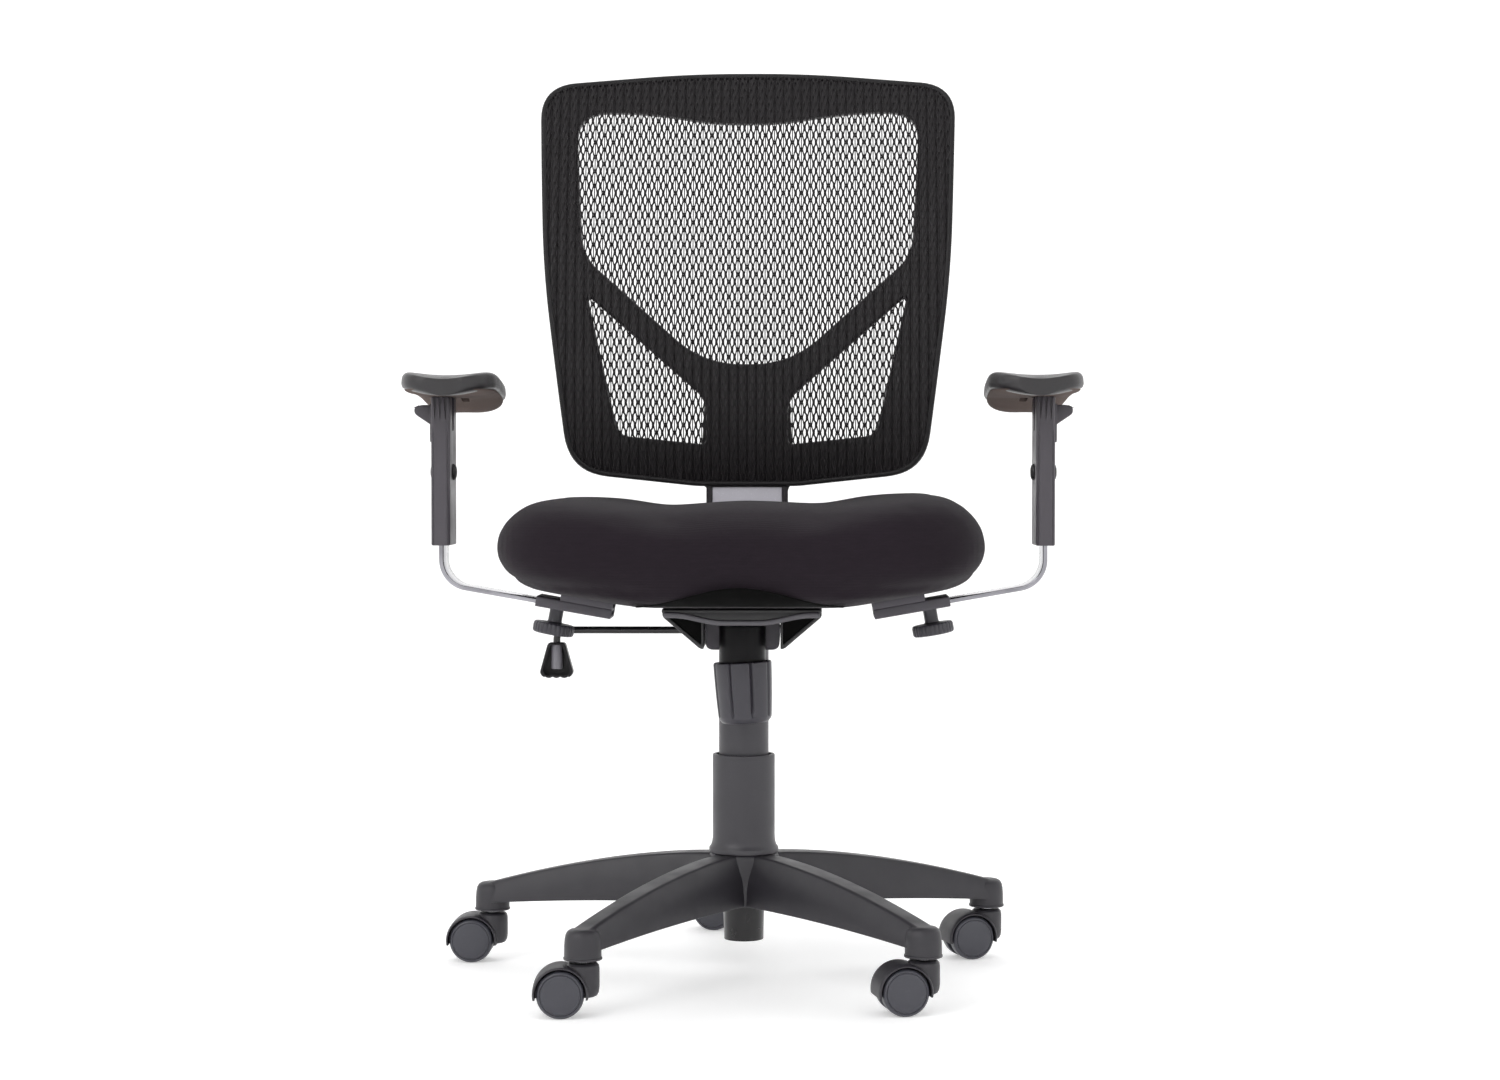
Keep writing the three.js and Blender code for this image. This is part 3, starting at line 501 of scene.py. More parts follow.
def moulded(name, colour, roughness=0.45, grain=1400, depth=0.05, wear=0.35, **constants):
    """Moulded plastic: spark-eroded grain, cloudy gloss and paler, smoother ridges."""
    look = Look(name, **constants)
    cloud = look.noise(14, 4)
    scuff = look.fit(look.noise(260, 5), 0.58, 0.74, 0, 0.5)
    body = look.blend(cloud, shade(colour, 0.86), shade(colour, 1.14))
    body = look.blend(look.sum(scuff, 0.35, "MULTIPLY"), body, shade(colour, 1.6))
    worn = look.sum(look.edges(), wear, "MULTIPLY")
    look.set(Base_Color=look.blend(worn, body, shade(colour, 1.9)))
    gloss = look.fit(look.noise(38, 3), 0.3, 0.7, roughness - 0.06, roughness + 0.07)
    look.set(Roughness=look.sum(gloss, look.sum(worn, 0.12, "MULTIPLY"), "SUBTRACT"))
    grained = look.bump(look.noise(grain, 2), depth)
    look.set(Normal=look.bump(look.noise(30, 2), 0.12, grained))
    return look.material


def polished(name, colour, roughness=0.1, scratch=(60, 60, 900), depth=0.004):
    """Bright metal with fine scratches and faint smears."""
    look = Look(name, Metallic=1.0)
    smear = look.noise(22, 4)
    lines = look.noise(1.0, 3, look.stretched(*scratch))
    look.set(Base_Color=look.blend(look.fit(smear, 0.35, 0.65), shade(colour, 0.72), shade(colour, 1.1)))
    haze = look.fit(smear, 0.35, 0.7, roughness, roughness + 0.09)
    look.set(Roughness=look.sum(haze, look.fit(lines, 0.55, 0.75, 0, 0.08)))
    look.set(Normal=look.bump(lines, depth))
    return look.material


def painted(name, colour, roughness=0.35, metallic=0.0, wear=0.3, coat=0.25, **constants):
    """Powder-coated steel: orange peel, dust and rubbed edges."""
    look = Look(name, Metallic=metallic, Coat_Weight=coat, Coat_Roughness=0.2, **constants)
    cloud = look.noise(20, 4)
    body = look.blend(cloud, shade(colour, 0.88), shade(colour, 1.1))
    speck = look.fit(look.noise(900, 2), 0.62, 0.72, 0, 0.5)
    body = look.blend(speck, body, shade(colour, 1.5))
    worn = look.sum(look.edges(), wear, "MULTIPLY")
    look.set(Base_Color=look.blend(worn, body, shade(colour, 1.8)))
    look.set(Roughness=look.fit(look.noise(60, 3), 0.3, 0.7, roughness - 0.05, roughness + 0.08))
    peel = look.bump(look.noise(420, 2), 0.05)
    look.set(Normal=look.bump(look.noise(60, 2), 0.06, peel))
    return look.material


def skinned_foam(name, colour, roughness=0.38):
    """Soft moulded pad: pebbled skin with fine pores, painted shade in the creases between pebbles, and a
    slight sheen.
    """
    look = Look(name, Coat_Weight=0.12, Coat_Roughness=0.35)
    cloud = look.noise(18, 4)
    pebble = look.cells(620, "DISTANCE_TO_EDGE")
    crease = look.fit(pebble, 0.0, 0.16)
    body = look.blend(cloud, shade(colour, 0.85), shade(colour, 1.15))
    # Painted shade: the skin is darker in the creases between the pebbles.
    look.set(Base_Color=look.blend(crease, shade(colour, 0.72), body))
    look.set(Roughness=look.fit(look.noise(45, 3), 0.3, 0.7, roughness - 0.06, roughness + 0.08))
    look.set(Normal=look.bump(look.noise(22, 3), 0.25, look.bump(crease, 0.07)))
    return look.material


def facing(look):
    """Flat coordinates for a weave: along and up each face, whichever way the face looks."""
    normal = look.node("NewGeometry").outputs["Normal"]
    turn = look.node("SeparateXYZ", Vector=normal)
    spot = look.node("SeparateXYZ", Vector=look.place)
    found = []
    for axis, low, high in (("X", 0.68, 0.74), ("Z", 0.62, 0.7)):
        share = look.fit(look.sum(turn.outputs[axis], 0.0, "ABSOLUTE"), low, high)
        mixed = look.node("Mix", {"data_type": "FLOAT"})
        for socket, value in zip((0, 2, 3), (share, spot.outputs[axis], spot.outputs["Y"])):
            look.feed(mixed.inputs[socket], value)
        found.append(mixed.outputs[0])
    return found


def knitted(name, colour, pitch=1.5):
    """Spacer-knit seat cloth: rows of small loops with painted shade in the dips between them, with fuzz
    and faint bands.
    """
    look = Look(name, Sheen_Weight=0.06, Sheen_Roughness=0.5, Specular_IOR_Level=0.12)
    u, v = facing(look)
    turns = 2 * math.pi / (pitch * MM)

    def wave(value, factor=1.0, shift=0.0):
        scaled = look.sum(value, turns * factor, "MULTIPLY")
        return look.sum(look.sum(scaled, shift), 0.0, "SINE")

    row = wave(v)
    column = look.sum(wave(u), row, "MULTIPLY")
    loops = look.fit(column, -1.0, 1.0)
    ribs = look.fit(wave(v, 0.5), -1.0, 1.0)
    weave = look.sum(look.sum(loops, 0.7, "MULTIPLY"), look.sum(ribs, 0.3, "MULTIPLY"))
    fuzz = look.noise(2600, 3)
    cloud = look.noise(9, 4)
    # Painted shade: the cloth is darker in the dips between the loops, where the bump also sinks.
    thread = look.blend(loops, shade(colour, 0.5), shade(colour, 1.35))
    thread = look.blend(look.fit(fuzz, 0.3, 0.75, 0, 0.5), thread, shade(colour, 1.7))
    look.set(Base_Color=look.blend(look.fit(cloud, 0.3, 0.7, 0, 0.3), thread, shade(colour, 0.6)))
    look.set(Roughness=look.fit(fuzz, 0.2, 0.8, 0.82, 0.97))
    look.set(Normal=look.bump(fuzz, 0.12, look.bump(weave, 0.3)))
    return look.material


def threaded(name, colour):
    """Twisted polyester yarn of the net back."""
    look = Look(name, Sheen_Weight=0.02, Sheen_Roughness=0.4, Specular_IOR_Level=0.3)
    twist = look.noise(1.0, 2, look.stretched(900, 900, 2600))
    cloud = look.noise(12, 3)
    body = look.blend(twist, shade(colour, 0.55), shade(colour, 1.7))
    look.set(Base_Color=look.blend(look.fit(cloud, 0.3, 0.7, 0, 0.35), body, shade(colour, 0.7)))
    look.set(Roughness=look.fit(twist, 0.2, 0.8, 0.42, 0.62))
    look.set(Normal=look.bump(twist, 0.12))
    return look.material


LOOKS = {
    "nylon": moulded("nylon", srgb(38, 36, 41), 0.46),
    "column_steel": painted("column_steel", srgb(24, 22, 24), 0.3, 0.2),
    "bush_plastic": moulded("bush_plastic", srgb(28, 27, 29), 0.5),
    "bright_steel": polished("bright_steel", srgb(190, 190, 194), 0.22),
    "cover_plastic": moulded("cover_plastic", srgb(49, 47, 52), 0.4, 1800, 0.03),
    "wheel_plastic": moulded("wheel_plastic", srgb(57, 57, 64), 0.38, 1800, 0.03),
    "stamped_steel": painted("stamped_steel", srgb(22, 21, 23), 0.36, 0.1),
    "knob_plastic": moulded("knob_plastic", srgb(49, 47, 54), 0.36, 1800, 0.03),
    "shell_plastic": moulded("shell_plastic", srgb(24, 22, 24), 0.5),
    "seat_fabric": knitted("seat_fabric", srgb(30, 24, 30)),
    "grey_steel": painted("grey_steel", srgb(184, 182, 190), 0.3, 0.35, 0.15),
    "mesh_fabric": threaded("mesh_fabric", srgb(22, 19, 21)),
    "chrome": polished("chrome", srgb(158, 157, 163), 0.07, (900, 60, 60)),
    "arm_plastic": moulded("arm_plastic", srgb(63, 59, 65), 0.42, 1600, 0.04),
    "pad_underside": moulded("pad_underside", srgb(97, 86, 82), 0.85, 1600, 0.04, Specular_IOR_Level=0.08),
    "pad_foam": skinned_foam("pad_foam", srgb(28, 25, 28)),
}
LIP_GREY = painted("lip_grey", srgb(84, 82, 87), 0.34, 0.3, 0.15)
CAST_GREY = painted("cast_grey", srgb(74, 71, 77), 0.5, 0.2, 0.2, 0.05)
BARREL_BLACK = painted("barrel_black", srgb(13, 12, 14), 0.34, 0.0, 0.3, 0.02, Specular_IOR_Level=0.12)
PADDLE_BLACK = moulded("paddle_black", srgb(24, 22, 25), 0.4, 1800, 0.03, Specular_IOR_Level=0.3)
# Near-black with almost no gloss: painted shade for the seat's underside and the inside of the rails, not a
# colour of the chair.
SHADE_BLACK = moulded("painted_shade_black", srgb(7, 7, 7), 0.7, Specular_IOR_Level=0.05)
FRAME_BLACK = moulded("frame_black", srgb(27, 22, 27), 0.48, 1500, 0.05)
SLEEVE_GREY = moulded("sleeve_grey", srgb(112, 110, 116), 0.36, 1800, 0.03)
PIPING = threaded("edge_cord", srgb(18, 16, 18))


def finish_piece(piece, body, slot, *nodes, look=None):
    """Gives a piece its look, which is the slot's own look unless another is given, and its body, and hides
    the CAD nodes that it stands for.
    """
    piece.data.materials.clear()
    piece.data.materials.append(look or LOOKS[slot])
    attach(piece, body)
    if nodes:
        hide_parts(*nodes)
    return piece


# ---------------------------------------------------------------- five-star base
ARM_COUNT = 5
STEM_CIRCLE = 302
BASE_TURN = math.radians(3.5)
HUB_TOP, HUB_LOW = 137, 80
TIP_TOP, TIP_LOW, BOSS_LOW = 91, 68, 59
ARM_START = 34.5


def arm_turn(k):
    return math.pi / 2 + BASE_TURN + 2 * math.pi * k / ARM_COUNT


def star_heights(s):
    """Top and bottom of a base arm at a share s of its length."""
    return HUB_TOP - 0.5 - (HUB_TOP - TIP_TOP) * s ** 1.7, HUB_LOW + 0.5 - (HUB_LOW - TIP_LOW) * s ** 2


def star_section(s):
    """Hollow moulding: a narrow flat crest, sloping sides and thin walls that are open below."""
    top, low = star_heights(s)
    foot, crest = 24 - 5 * s, 13.5 - 2.5 * s
    waist = low + 0.5 * (top - low)
    side = [[foot, low, 1], [foot - 2, waist, 9], [crest, top, 3.2]]
    hollow = [[crest - 1.5, top - 5, 2], [foot - 5.4, waist - 1, 4], [foot - 3.4, low, 0.8]]
    across = [[-x, z, r] for x, z, r in side] + side[::-1] + [[x, z, r] for x, z, r in hollow[::-1]]
    return across + [[-x, z, r] for x, z, r in hollow]


def star_arm(turn):
    change = Matrix.Rotation(turn, 4, "Z")

    def reach(s):
        return ARM_START + (STEM_CIRCLE + 3.7 - ARM_START) * s

    stations = [k / 18 for k in range(19)]
    shell = loft("arm", [[(reach(s), p.x, p.y) for p in rounded(star_section(s), 4)] for s in stations],
                 change=change)
    ribs = []
    for s in (0.36, 0.62):
        top, low = star_heights(s)
        half, crest = 20.5 - 5 * s, 12 - 2.5 * s
        outline = [[-half, low + 6], [half, low + 6], [half - 1.5, low + 24], [crest, top - 3.5],
                   [-crest, top - 3.5], [1.5 - half, low + 24]]
        ribs.append(prism("rib", outline, reach(s) - 1.3, reach(s) + 1.3, plane="YZ", change=change))
    crown = [[0, 0.4], [9, 0.3], [13.2, -0.6], [16, -2.4], [17.8, -5.4], [18.8, -10], [19.4, -17]]
    skirt = [[19.5, 62], [20.3, 61.2], [20.3, BOSS_LOW + 0.6], [19.6, BOSS_LOW], [0, BOSS_LOW]]
    boss = lathe("boss", [[radius, TIP_TOP + z] for radius, z in crown] + skirt,
                 change @ Matrix.Translation((STEM_CIRCLE, 0, 0)), 48)
    return combine(shell, "UNION", *ribs, boss)


def column_radius(z):
    return 25 - 0.025 * max(150 - z, 0)


def star_base():
    hub = lathe("star", [[12, HUB_LOW], [41.2, HUB_LOW], [42, HUB_LOW + 1], [40.4, HUB_TOP - 8],
                         [39.6, HUB_TOP - 4], [38.6, HUB_TOP - 1.4], [36.8, HUB_TOP], [12, HUB_TOP],
                         [12, HUB_LOW]], segments=80)
    combine(hub, "UNION", *[star_arm(arm_turn(k)) for k in range(ARM_COUNT)])
    bore = lathe("bore", [[0, 70], [column_radius(70) + 0.3, 70], [column_radius(145) + 0.3, 145],
                          [0, 145]])
    sockets = [lathe("socket", [[0, 50], [6, 50], [6, 84], [0, 84]],
                     Matrix.Rotation(arm_turn(k), 4, "Z") @ Matrix.Translation((STEM_CIRCLE, 0, 0)), 24)
               for k in range(ARM_COUNT)]
    return combine(hub, "DIFFERENCE", bore, *sockets)


finish_piece(star_base(), "base", "nylon", "star_base").name = "star_moulding"

finish_piece(lathe("column_sleeve", [[7, 38.6], [22, 38.6], [22.2, 39], [25, 150], [25, 239.6], [24.6, 240],
                                     [23.2, 240], [23.2, 130], [19.8, 42.6], [7, 42.6], [7, 38.6]]),
             "base", "column_steel", "column_tube")
finish_piece(lathe("column_shroud", [[31.5, 137.3], [38.6, 137.3], [39, 137.8], [39, 142.2], [38.5, 143.2],
                                     [36.8, 145.6], [35.7, 149], [35.2, 153], [35, 158], [35, 246.6],
                                     [34.7, 247.5], [34, 248], [32, 248], [31.5, 247.4], [31.5, 137.3]]),
             BODY_OF["cover_lower"], "cover_plastic", "cover_lower")
finish_piece(lathe("column_shroud_top", [[26, 240], [27.5, 240], [28, 240.6], [28, 366.5], [27.5, 368.2],
                                         [26.4, 368.7], [26, 368.4], [26, 240]]),
             BODY_OF["cover_upper"], "cover_plastic", "cover_upper")


# ---------------------------------------------------------------- casters
CASTER_YAWS = [math.radians(yaw) for yaw in (-8, 0, 3, 12, 17)]
TRAIL, WHEEL_RADIUS, WEB_HALF = 23, 25, 7.2
AXLE = Matrix.Translation((-TRAIL, 0, WHEEL_RADIUS)) @ Matrix.Rotation(-math.pi / 2, 4, "X")


def caster_fork():
    """Fender over both wheels, cut level below the axle, with the stem's housing and a middle web."""
    web = WEB_HALF - 0.2
    fender = lathe("fork", [[3.4, -web], [26.8, -web], [26.8, -21.6], [27.2, -22], [28, -21.8],
                            [28.9, -20.4], [29.3, -17], [29.5, -10], [29.5, 10], [29.3, 17], [28.9, 20.4],
                            [28, 21.8], [27.2, 22], [26.8, 21.6], [26.8, web], [3.4, web],
                            [3.4, -web]], AXLE, 80)
    housing = lathe("housing", [[5.9, 20.6], [12.4, 20.6], [15, 22], [16.8, 25.4], [17.5, 31], [17.5, 50],
                                [16.8, 53.6], [14.8, 55.6], [12, 56], [5.9, 56], [5.9, 20.6]], segments=56)
    bays = [lathe("bay", [[0, low], [26.7, low], [26.7, high], [0, high]], AXLE, 88)
            for low, high in ((WEB_HALF, 32), (-32, -WEB_HALF))]
    below = block(-90, 60, -50, 50, -30, 20)
    combine(fender, "UNION", housing)
    return combine(fender, "DIFFERENCE", *bays, below)


def caster_wheel(has_axle):
    face = [[24.3, 7.5], [25, 8.3], [25, 17.4], [24.7, 18.8], [23.9, 20.2], [22.8, 21.2], [21.9, 21.5],
            [21.5, 20.7], [20.9, 20.7], [20.5, 21.5], [18, 22.2], [14, 22.9], [9, 23.4], [4, 23.6],
            [0, 23.6]]
    axle, socket = [[0, -18], [2.6, -18], [3, -17.6], [3, 7.5]], [[0, 19.5], [3.3, 19.5], [3.3, 7.5]]
    core = axle if has_axle else socket
    return lathe("wheel", core + face, Matrix.Rotation(-math.pi / 2, 4, "X"), 72)


def casters():
    fork, first, second = caster_fork(), caster_wheel(True), caster_wheel(False)
    for number, yaw in enumerate(CASTER_YAWS, 1):
        turn = arm_turn(number - 1)
        stand = Matrix.Translation((STEM_CIRCLE * math.cos(turn), STEM_CIRCLE * math.sin(turn), 0))
        stand = stand @ Matrix.Rotation(yaw, 4, "Z")
        axle = stand @ Matrix.Translation((-TRAIL, 0, WHEEL_RADIUS))
        finish_piece(copied(fork, f"caster_fork_{number}", stand), f"caster_{number}", "nylon",
                     f"caster_hood_{number}")
        opposite = axle @ Matrix.Rotation(math.pi, 4, "Z")
        for wheel, letter, turned in ((first, "a", axle), (second, "b", opposite)):
            finish_piece(copied(wheel, f"caster_wheel_{number}{letter}", turned), f"wheels_{number}",
                         "wheel_plastic", f"wheel_{letter}_{number}")
        pin = [[0, 31], [5, 31], [5.5, 31.6], [5.5, 56.3], [8.4, 56.3], [9, 56.9], [9, 58.2], [8.6, 58.7],
               [5.5, 58.7], [5.5, 82], [4.6, 83], [0, 83]]
        finish_piece(lathe(f"caster_pin_{number}", pin, stand, 32), f"caster_{number}", "bright_steel",
                     f"caster_stem_{number}")
    for piece in (fork, first, second):
        bpy.data.objects.remove(piece)


casters()


# ---------------------------------------------------------------- tilt mechanism
HOUSING_LOW = 369
PIVOT_Y, PIVOT_Z = -44, 391
BARREL_Y, BARREL_RADIUS = -80, 25.5
CASE_HALF = 40.8
LEVER_Y, LEVER_Z, LEVER_END = 2, 387, -211


def tilt_housing():
    side = [[-70, HOUSING_LOW + 4], [-66, HOUSING_LOW], [56, HOUSING_LOW], [62, HOUSING_LOW + 5], [62, 384],
            [10, 391], [-30, 398], [-70, 398]]
    shell = prism("tilt_case", side, -CASE_HALF, CASE_HALF, plane="YZ")
    across = rounded([[-CASE_HALF, HOUSING_LOW, 9], [CASE_HALF, HOUSING_LOW, 9], [CASE_HALF, 402],
                      [-CASE_HALF, 402]])
    combine(shell, "INTERSECT", prism("across", across, -80, 80))
    combine(shell, "DIFFERENCE", block(-36, 36, -66, 58.5, HOUSING_LOW + 3.5, 410))
    combine(shell, "UNION", cylinder(20, HOUSING_LOW, 378))
    combine(shell, "DIFFERENCE",
            cylinder(BARREL_RADIUS + 0.6, 340, 410, Matrix.Translation((0, BARREL_Y, 0)), 64),
            cylinder(5.3, -60, 60, along_x(PIVOT_Y, PIVOT_Z)),
            cylinder(6.5, -60, -20, along_x(LEVER_Y, LEVER_Z)),
            cylinder(14.3, 340, 410))
    return softened(shell, 0.7)


def tension_knob():
    """Tapered grip with eight narrow flutes and a recessed end."""
    flutes = [math.radians(45 * (k + 0.4)) for k in range(8)]

    def radius_at(radius, height, angle):
        if radius < 27.7 or height < -60:
            return radius
        near = min(abs(math.remainder(angle - flute, 2 * math.pi)) for flute in flutes)
        return radius - 3.2 * math.exp(-(near * radius / 1.7) ** 2) * smoothstep(height, -61, -56)

    profile = [[0, -16], [6.5, -16], [6.5, -8], [27.6, -8], [27.6, -0.6], [28.1, 0], [30.8, 0],
               [31.6, -0.6], [32, -2.2]]
    profile += [[32 - 1.0 * t - 1.6 * t * t, -2.2 - 56 * t] for t in (0.2, 0.4, 0.6, 0.8, 0.92, 1)]
    profile += [[29.2, -60.4], [28.4, -62.6], [25.6, -66], [24.6, -66.5], [20.6, -66.5], [20, -66],
                [20, -56.4], [19.4, -56], [0, -56]]
    lean = Matrix.Translation((0, BARREL_Y, 357)) @ Matrix.Rotation(math.radians(-3), 4, "Y")
    return lathe("tension_grip", profile, lean, 240, radius_at=radius_at)


def lever_rod():
    bend = 11
    corner = [Vector((LEVER_END + bend, LEVER_Y, LEVER_Z)), Vector((LEVER_END, LEVER_Y, LEVER_Z)),
              Vector((LEVER_END, LEVER_Y, LEVER_Z - bend))]
    path = [Vector((10 + (LEVER_END + bend - 10) * k / 12, LEVER_Y, LEVER_Z)) for k in range(12)]
    path += [corner[0] * (1 - t) ** 2 + corner[1] * 2 * t * (1 - t) + corner[2] * t * t
             for t in (k / 10 for k in range(11))]
    path += [Vector((LEVER_END, LEVER_Y, z)) for z in (368, 357, 346)]
    return sweep("lever_arm", path, ellipse(4, 4, 20))


def lever_paddle():
    """Hollow flared grip, open to the front, with a wavy lower edge."""
    middle_z = LEVER_Z - 33

    def outline(gap):
        waves = [[13 - 26 * k / 12, -19.6 - 1.4 * abs(math.cos(math.pi * 1.5 * (1 - k / 6))) + gap, 0]
                 for k in range(13)]
        corners = [[-9.5 + gap, 19 - gap, 3.5], [-19 + 1.3 * gap, -15 + gap, 3],
                   [-15 + gap, -20.4 + gap, 2.5]]
        ring = corners + waves[::-1] + [[-x, y, r] for x, y, r in corners[::-1]]
        return [p + Vector((LEVER_END, middle_z)) for p in rounded(ring, 4)]

    shell = prism("lever_grip", outline(0), LEVER_Y - 8, LEVER_Y + 8, edge=1.5)
    combine(shell, "DIFFERENCE", prism("inside", outline(2.6), LEVER_Y - 9, LEVER_Y + 5.5))
    return softened(shell, 0.5)


def lever_sleeve():
    stand = Matrix.Translation((LEVER_END, LEVER_Y, LEVER_Z - 33))
    return lathe("lever_socket", [[4.3, -9], [4.6, -10.6], [5.6, -11], [6.1, -10.6], [6.4, -9.4], [6.4, 16],
                                  [6, 17], [4.3, 17], [4.3, -9]], stand, 40)


def seat_plate():
    """Stamped plate with a dark apron across the front and a hollow triangular rail on each side."""
    corners = [[-87, -118, 6], [87, -118, 6], [87, 135, 18], [-87, 135, 18]]
    plate = prism("tilt_plate", rounded(corners, 8), 412, 416, edge=0.9, plane="XY")
    apron = rounded([[-84, 413], [-84, 409.5, 2], [-44, 403, 14], [0, 401, 16], [44, 403, 14],
                     [84, 409.5, 2], [84, 413]])
    parts = [plate, prism("apron", apron, -118, -115.2, edge=0.6)]
    for side in (1, -1):
        outer = [[42, 415], [42, 372, 1.5], [46, 372, 3], [87, 407, 3], [87, 415]]
        hollow = [[44.6, 412, 1], [44.6, 376.4, 2], [83, 408.6, 2], [83, 412, 1]]
        turned = [rounded([[side * x, *rest] for x, *rest in ring]) for ring in (outer, hollow)]
        parts.append(prism("rail", turned[0], -98, -16, [turned[1]], edge=0.7))
    return merged("tilt_plate", *parts)


def rail_shade_sheets():
    """Painted shade: near-black sheets just inside the front of the two hollow rails, standing for the
    shade inside them.
    """
    shade_sheets = []
    for side in (1, -1):
        corners = ((44, 412.5), (44, 375.6), (83.8, 408.8), (83.8, 412.5))
        shade_sheets.append(prism("web", rounded([[side * x, z, 2] for x, z in corners]), -96.5, -94.5))
    return merged("rail_shade_sheets", *shade_sheets)


def front_lip():
    """Rolled lip under the front of the plate, curved like a smile."""
    half = 85
    shares = [-1 + k / 16 for k in range(33)]
    low = [[half * u, 398.6 + 8.2 * smoothstep(abs(u), 0.24, 0.88)] for u in shares]
    high = [[x, z + 5.6 + 0.8 * abs(x / half)] for x, z in reversed(low)]
    ring = [[x, z, 2.4 if abs(x) > half - 1 else 0] for x, z in low + high]
    return prism("plate_lip", rounded(ring, 5), -121, -117.6, edge=1.3)


finish_piece(tilt_housing(), BODY_OF["tilt_housing"], "stamped_steel", "tilt_housing", look=CAST_GREY)
barrel = [[9, 352], [24.4, 352], [25.2, 352.4], [25.5, 353.2], [25.5, 395.6], [25.2, 396.6], [24.4, 397],
          [22.5, 397], [22.5, 356], [9, 356], [9, 352]]
finish_piece(lathe("spring_housing", barrel, Matrix.Translation((0, BARREL_Y, 0))),
             BODY_OF["spring_barrel"], "stamped_steel", "spring_barrel", look=BARREL_BLACK)
finish_piece(tension_knob(), BODY_OF["tension_knob"], "knob_plastic", "tension_knob")
finish_piece(lever_rod(), BODY_OF["lever_rod"], "bright_steel", "lever_rod", look=LOOKS["column_steel"])
finish_piece(lever_paddle(), BODY_OF["lever_paddle"], "knob_plastic", "lever_paddle", look=PADDLE_BLACK)
finish_piece(lever_sleeve(), BODY_OF["lever_paddle"], "knob_plastic", look=SLEEVE_GREY)
finish_piece(seat_plate(), BODY_OF["seat_plate"], "stamped_steel", "seat_plate")
finish_piece(front_lip(), BODY_OF["seat_plate"], "stamped_steel", look=LIP_GREY)
# The sheets inside the rails are painted shade, near-black with almost no gloss.
finish_piece(rail_shade_sheets(), BODY_OF["seat_plate"], "stamped_steel", look=SHADE_BLACK)


# ---------------------------------------------------------------- seat
SEAT_Y, SEAT_DEPTH, SEAT_Z = -34, 231, 485
SEAT_HALF = [[0, 414], [60, 414], [110, 415], [160, 424], [205, 433], [240, 444], [257, 463], [262, 487],
             [254, 513], [234, 533], [205, 540.5], [175, 540], [140, 536], [90, 530.5], [45, 533], [0, 535]]
CLOTH_GAP = 4.5
VOXEL, PRESSURE, LARGEST_STEP, FRAMES = 6, 4.0, 6.0, 20
HELD_BELOW, CUSHION_FOOT = 0.43, 0.4138  # metres
ARCH_HALF, ARCH_FOOT, ARCH_RISE = 112, 423, 21
PAN_SLOPE = math.tan(math.radians(11))


def cushion_ring(t):
    """One upright section of the cushion: level over the pan, two side bolsters and a low middle hump."""
    half = SEAT_HALF[1:-1]
    outline = through([*SEAT_HALF, *[[-x, z] for x, z in reversed(half)]], 4)
    outline = inset(wound(outline, True), CLOTH_GAP)
    wide = (1 - 0.985 * abs(t) ** 6) ** (1 / 4.5)
    tall = (1 - 0.98 * abs(t) ** 5) ** (1 / 2.6)
    deep = (1 - 0.13 * smoothstep(-t, -0.1, 0.9)) * (1 - 0.98 * abs(t) ** 12) ** (1 / 2.6)
    ring = []
    for x, z in outline:
        rise = z + (z - SEAT_Z) * ((tall if z > SEAT_Z else deep) - 1)
        over = smoothstep(z, 490, 530)
        rise += over * 0.012 * x
        rise += over * 4 * smoothstep(t, 0.1, 0.6) * math.exp(-((abs(x) - 135) / 45) ** 2)
        under = smoothstep(-z, -470, -440) * smoothstep(-t, 0.85, 0.89)
        arch = ARCH_FOOT + ARCH_RISE * math.cos(math.pi / 2 * min(abs(x) / ARCH_HALF, 1)) ** 2
        rise += under * max(arch - rise, 0)
        ring.append((x * wide, SEAT_Y + (SEAT_DEPTH - CLOTH_GAP) * t, rise))
    return ring


def swollen(piece):
    """Remeshes a closed shape, swells it as cloth with its underside held, and smooths it."""
    remesh = piece.modifiers.new("remesh", "REMESH")
    remesh.mode = "VOXEL"
    remesh.voxel_size = VOXEL * MM
    applied(piece)
    start = [vert.co.copy() for vert in piece.data.vertices]
    held = piece.vertex_groups.new(name="held")
    held.add([k for k, p in enumerate(start) if p.z < HELD_BELOW + 0.07 * abs(p.x)], 1.0, "REPLACE")
    cloth = piece.modifiers.new("cloth", "CLOTH")
    settings = cloth.settings
    settings.use_pressure = True
    settings.uniform_pressure_force = PRESSURE
    settings.effector_weights.gravity = 0
    settings.vertex_group_mass = "held"
    settings.quality = 4
    settings.tension_stiffness = settings.compression_stiffness = 20
    settings.bending_stiffness = 1.0
    cloth.point_cache.frame_end = FRAMES
    scene = bpy.context.scene
    for number in range(1, FRAMES + 1):
        scene.frame_set(number)
    graph = bpy.context.evaluated_depsgraph_get()
    moved = [vert.co.copy() for vert in piece.evaluated_get(graph).data.vertices]
    piece.modifiers.clear()
    piece.vertex_groups.clear()
    scene.frame_set(1)
    for vert, before, after in zip(piece.data.vertices, start, moved):
        step = after - before
        if step.length > LARGEST_STEP * MM:
            step *= LARGEST_STEP * MM / step.length
        vert.co = before + step
    even = piece.modifiers.new("even", "SMOOTH")
    even.factor = 0.5
    even.iterations = 3
    finer = piece.modifiers.new("finer", "SUBSURF")
    finer.levels = 1
    return applied(piece)


def seat_cushion():
    stations = [math.sin(math.pi / 2 * (k / 22 - 1)) for k in range(45)]
    piece = swollen(loft("seat_pad", [cushion_ring(t) for t in stations]))
    piece.data.polygons.foreach_set("use_smooth", [True] * len(piece.data.polygons))
    low, high = (Vector(corner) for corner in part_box("seat_cushion"))
    low.z = CUSHION_FOOT
    return fitted(piece, low, high)


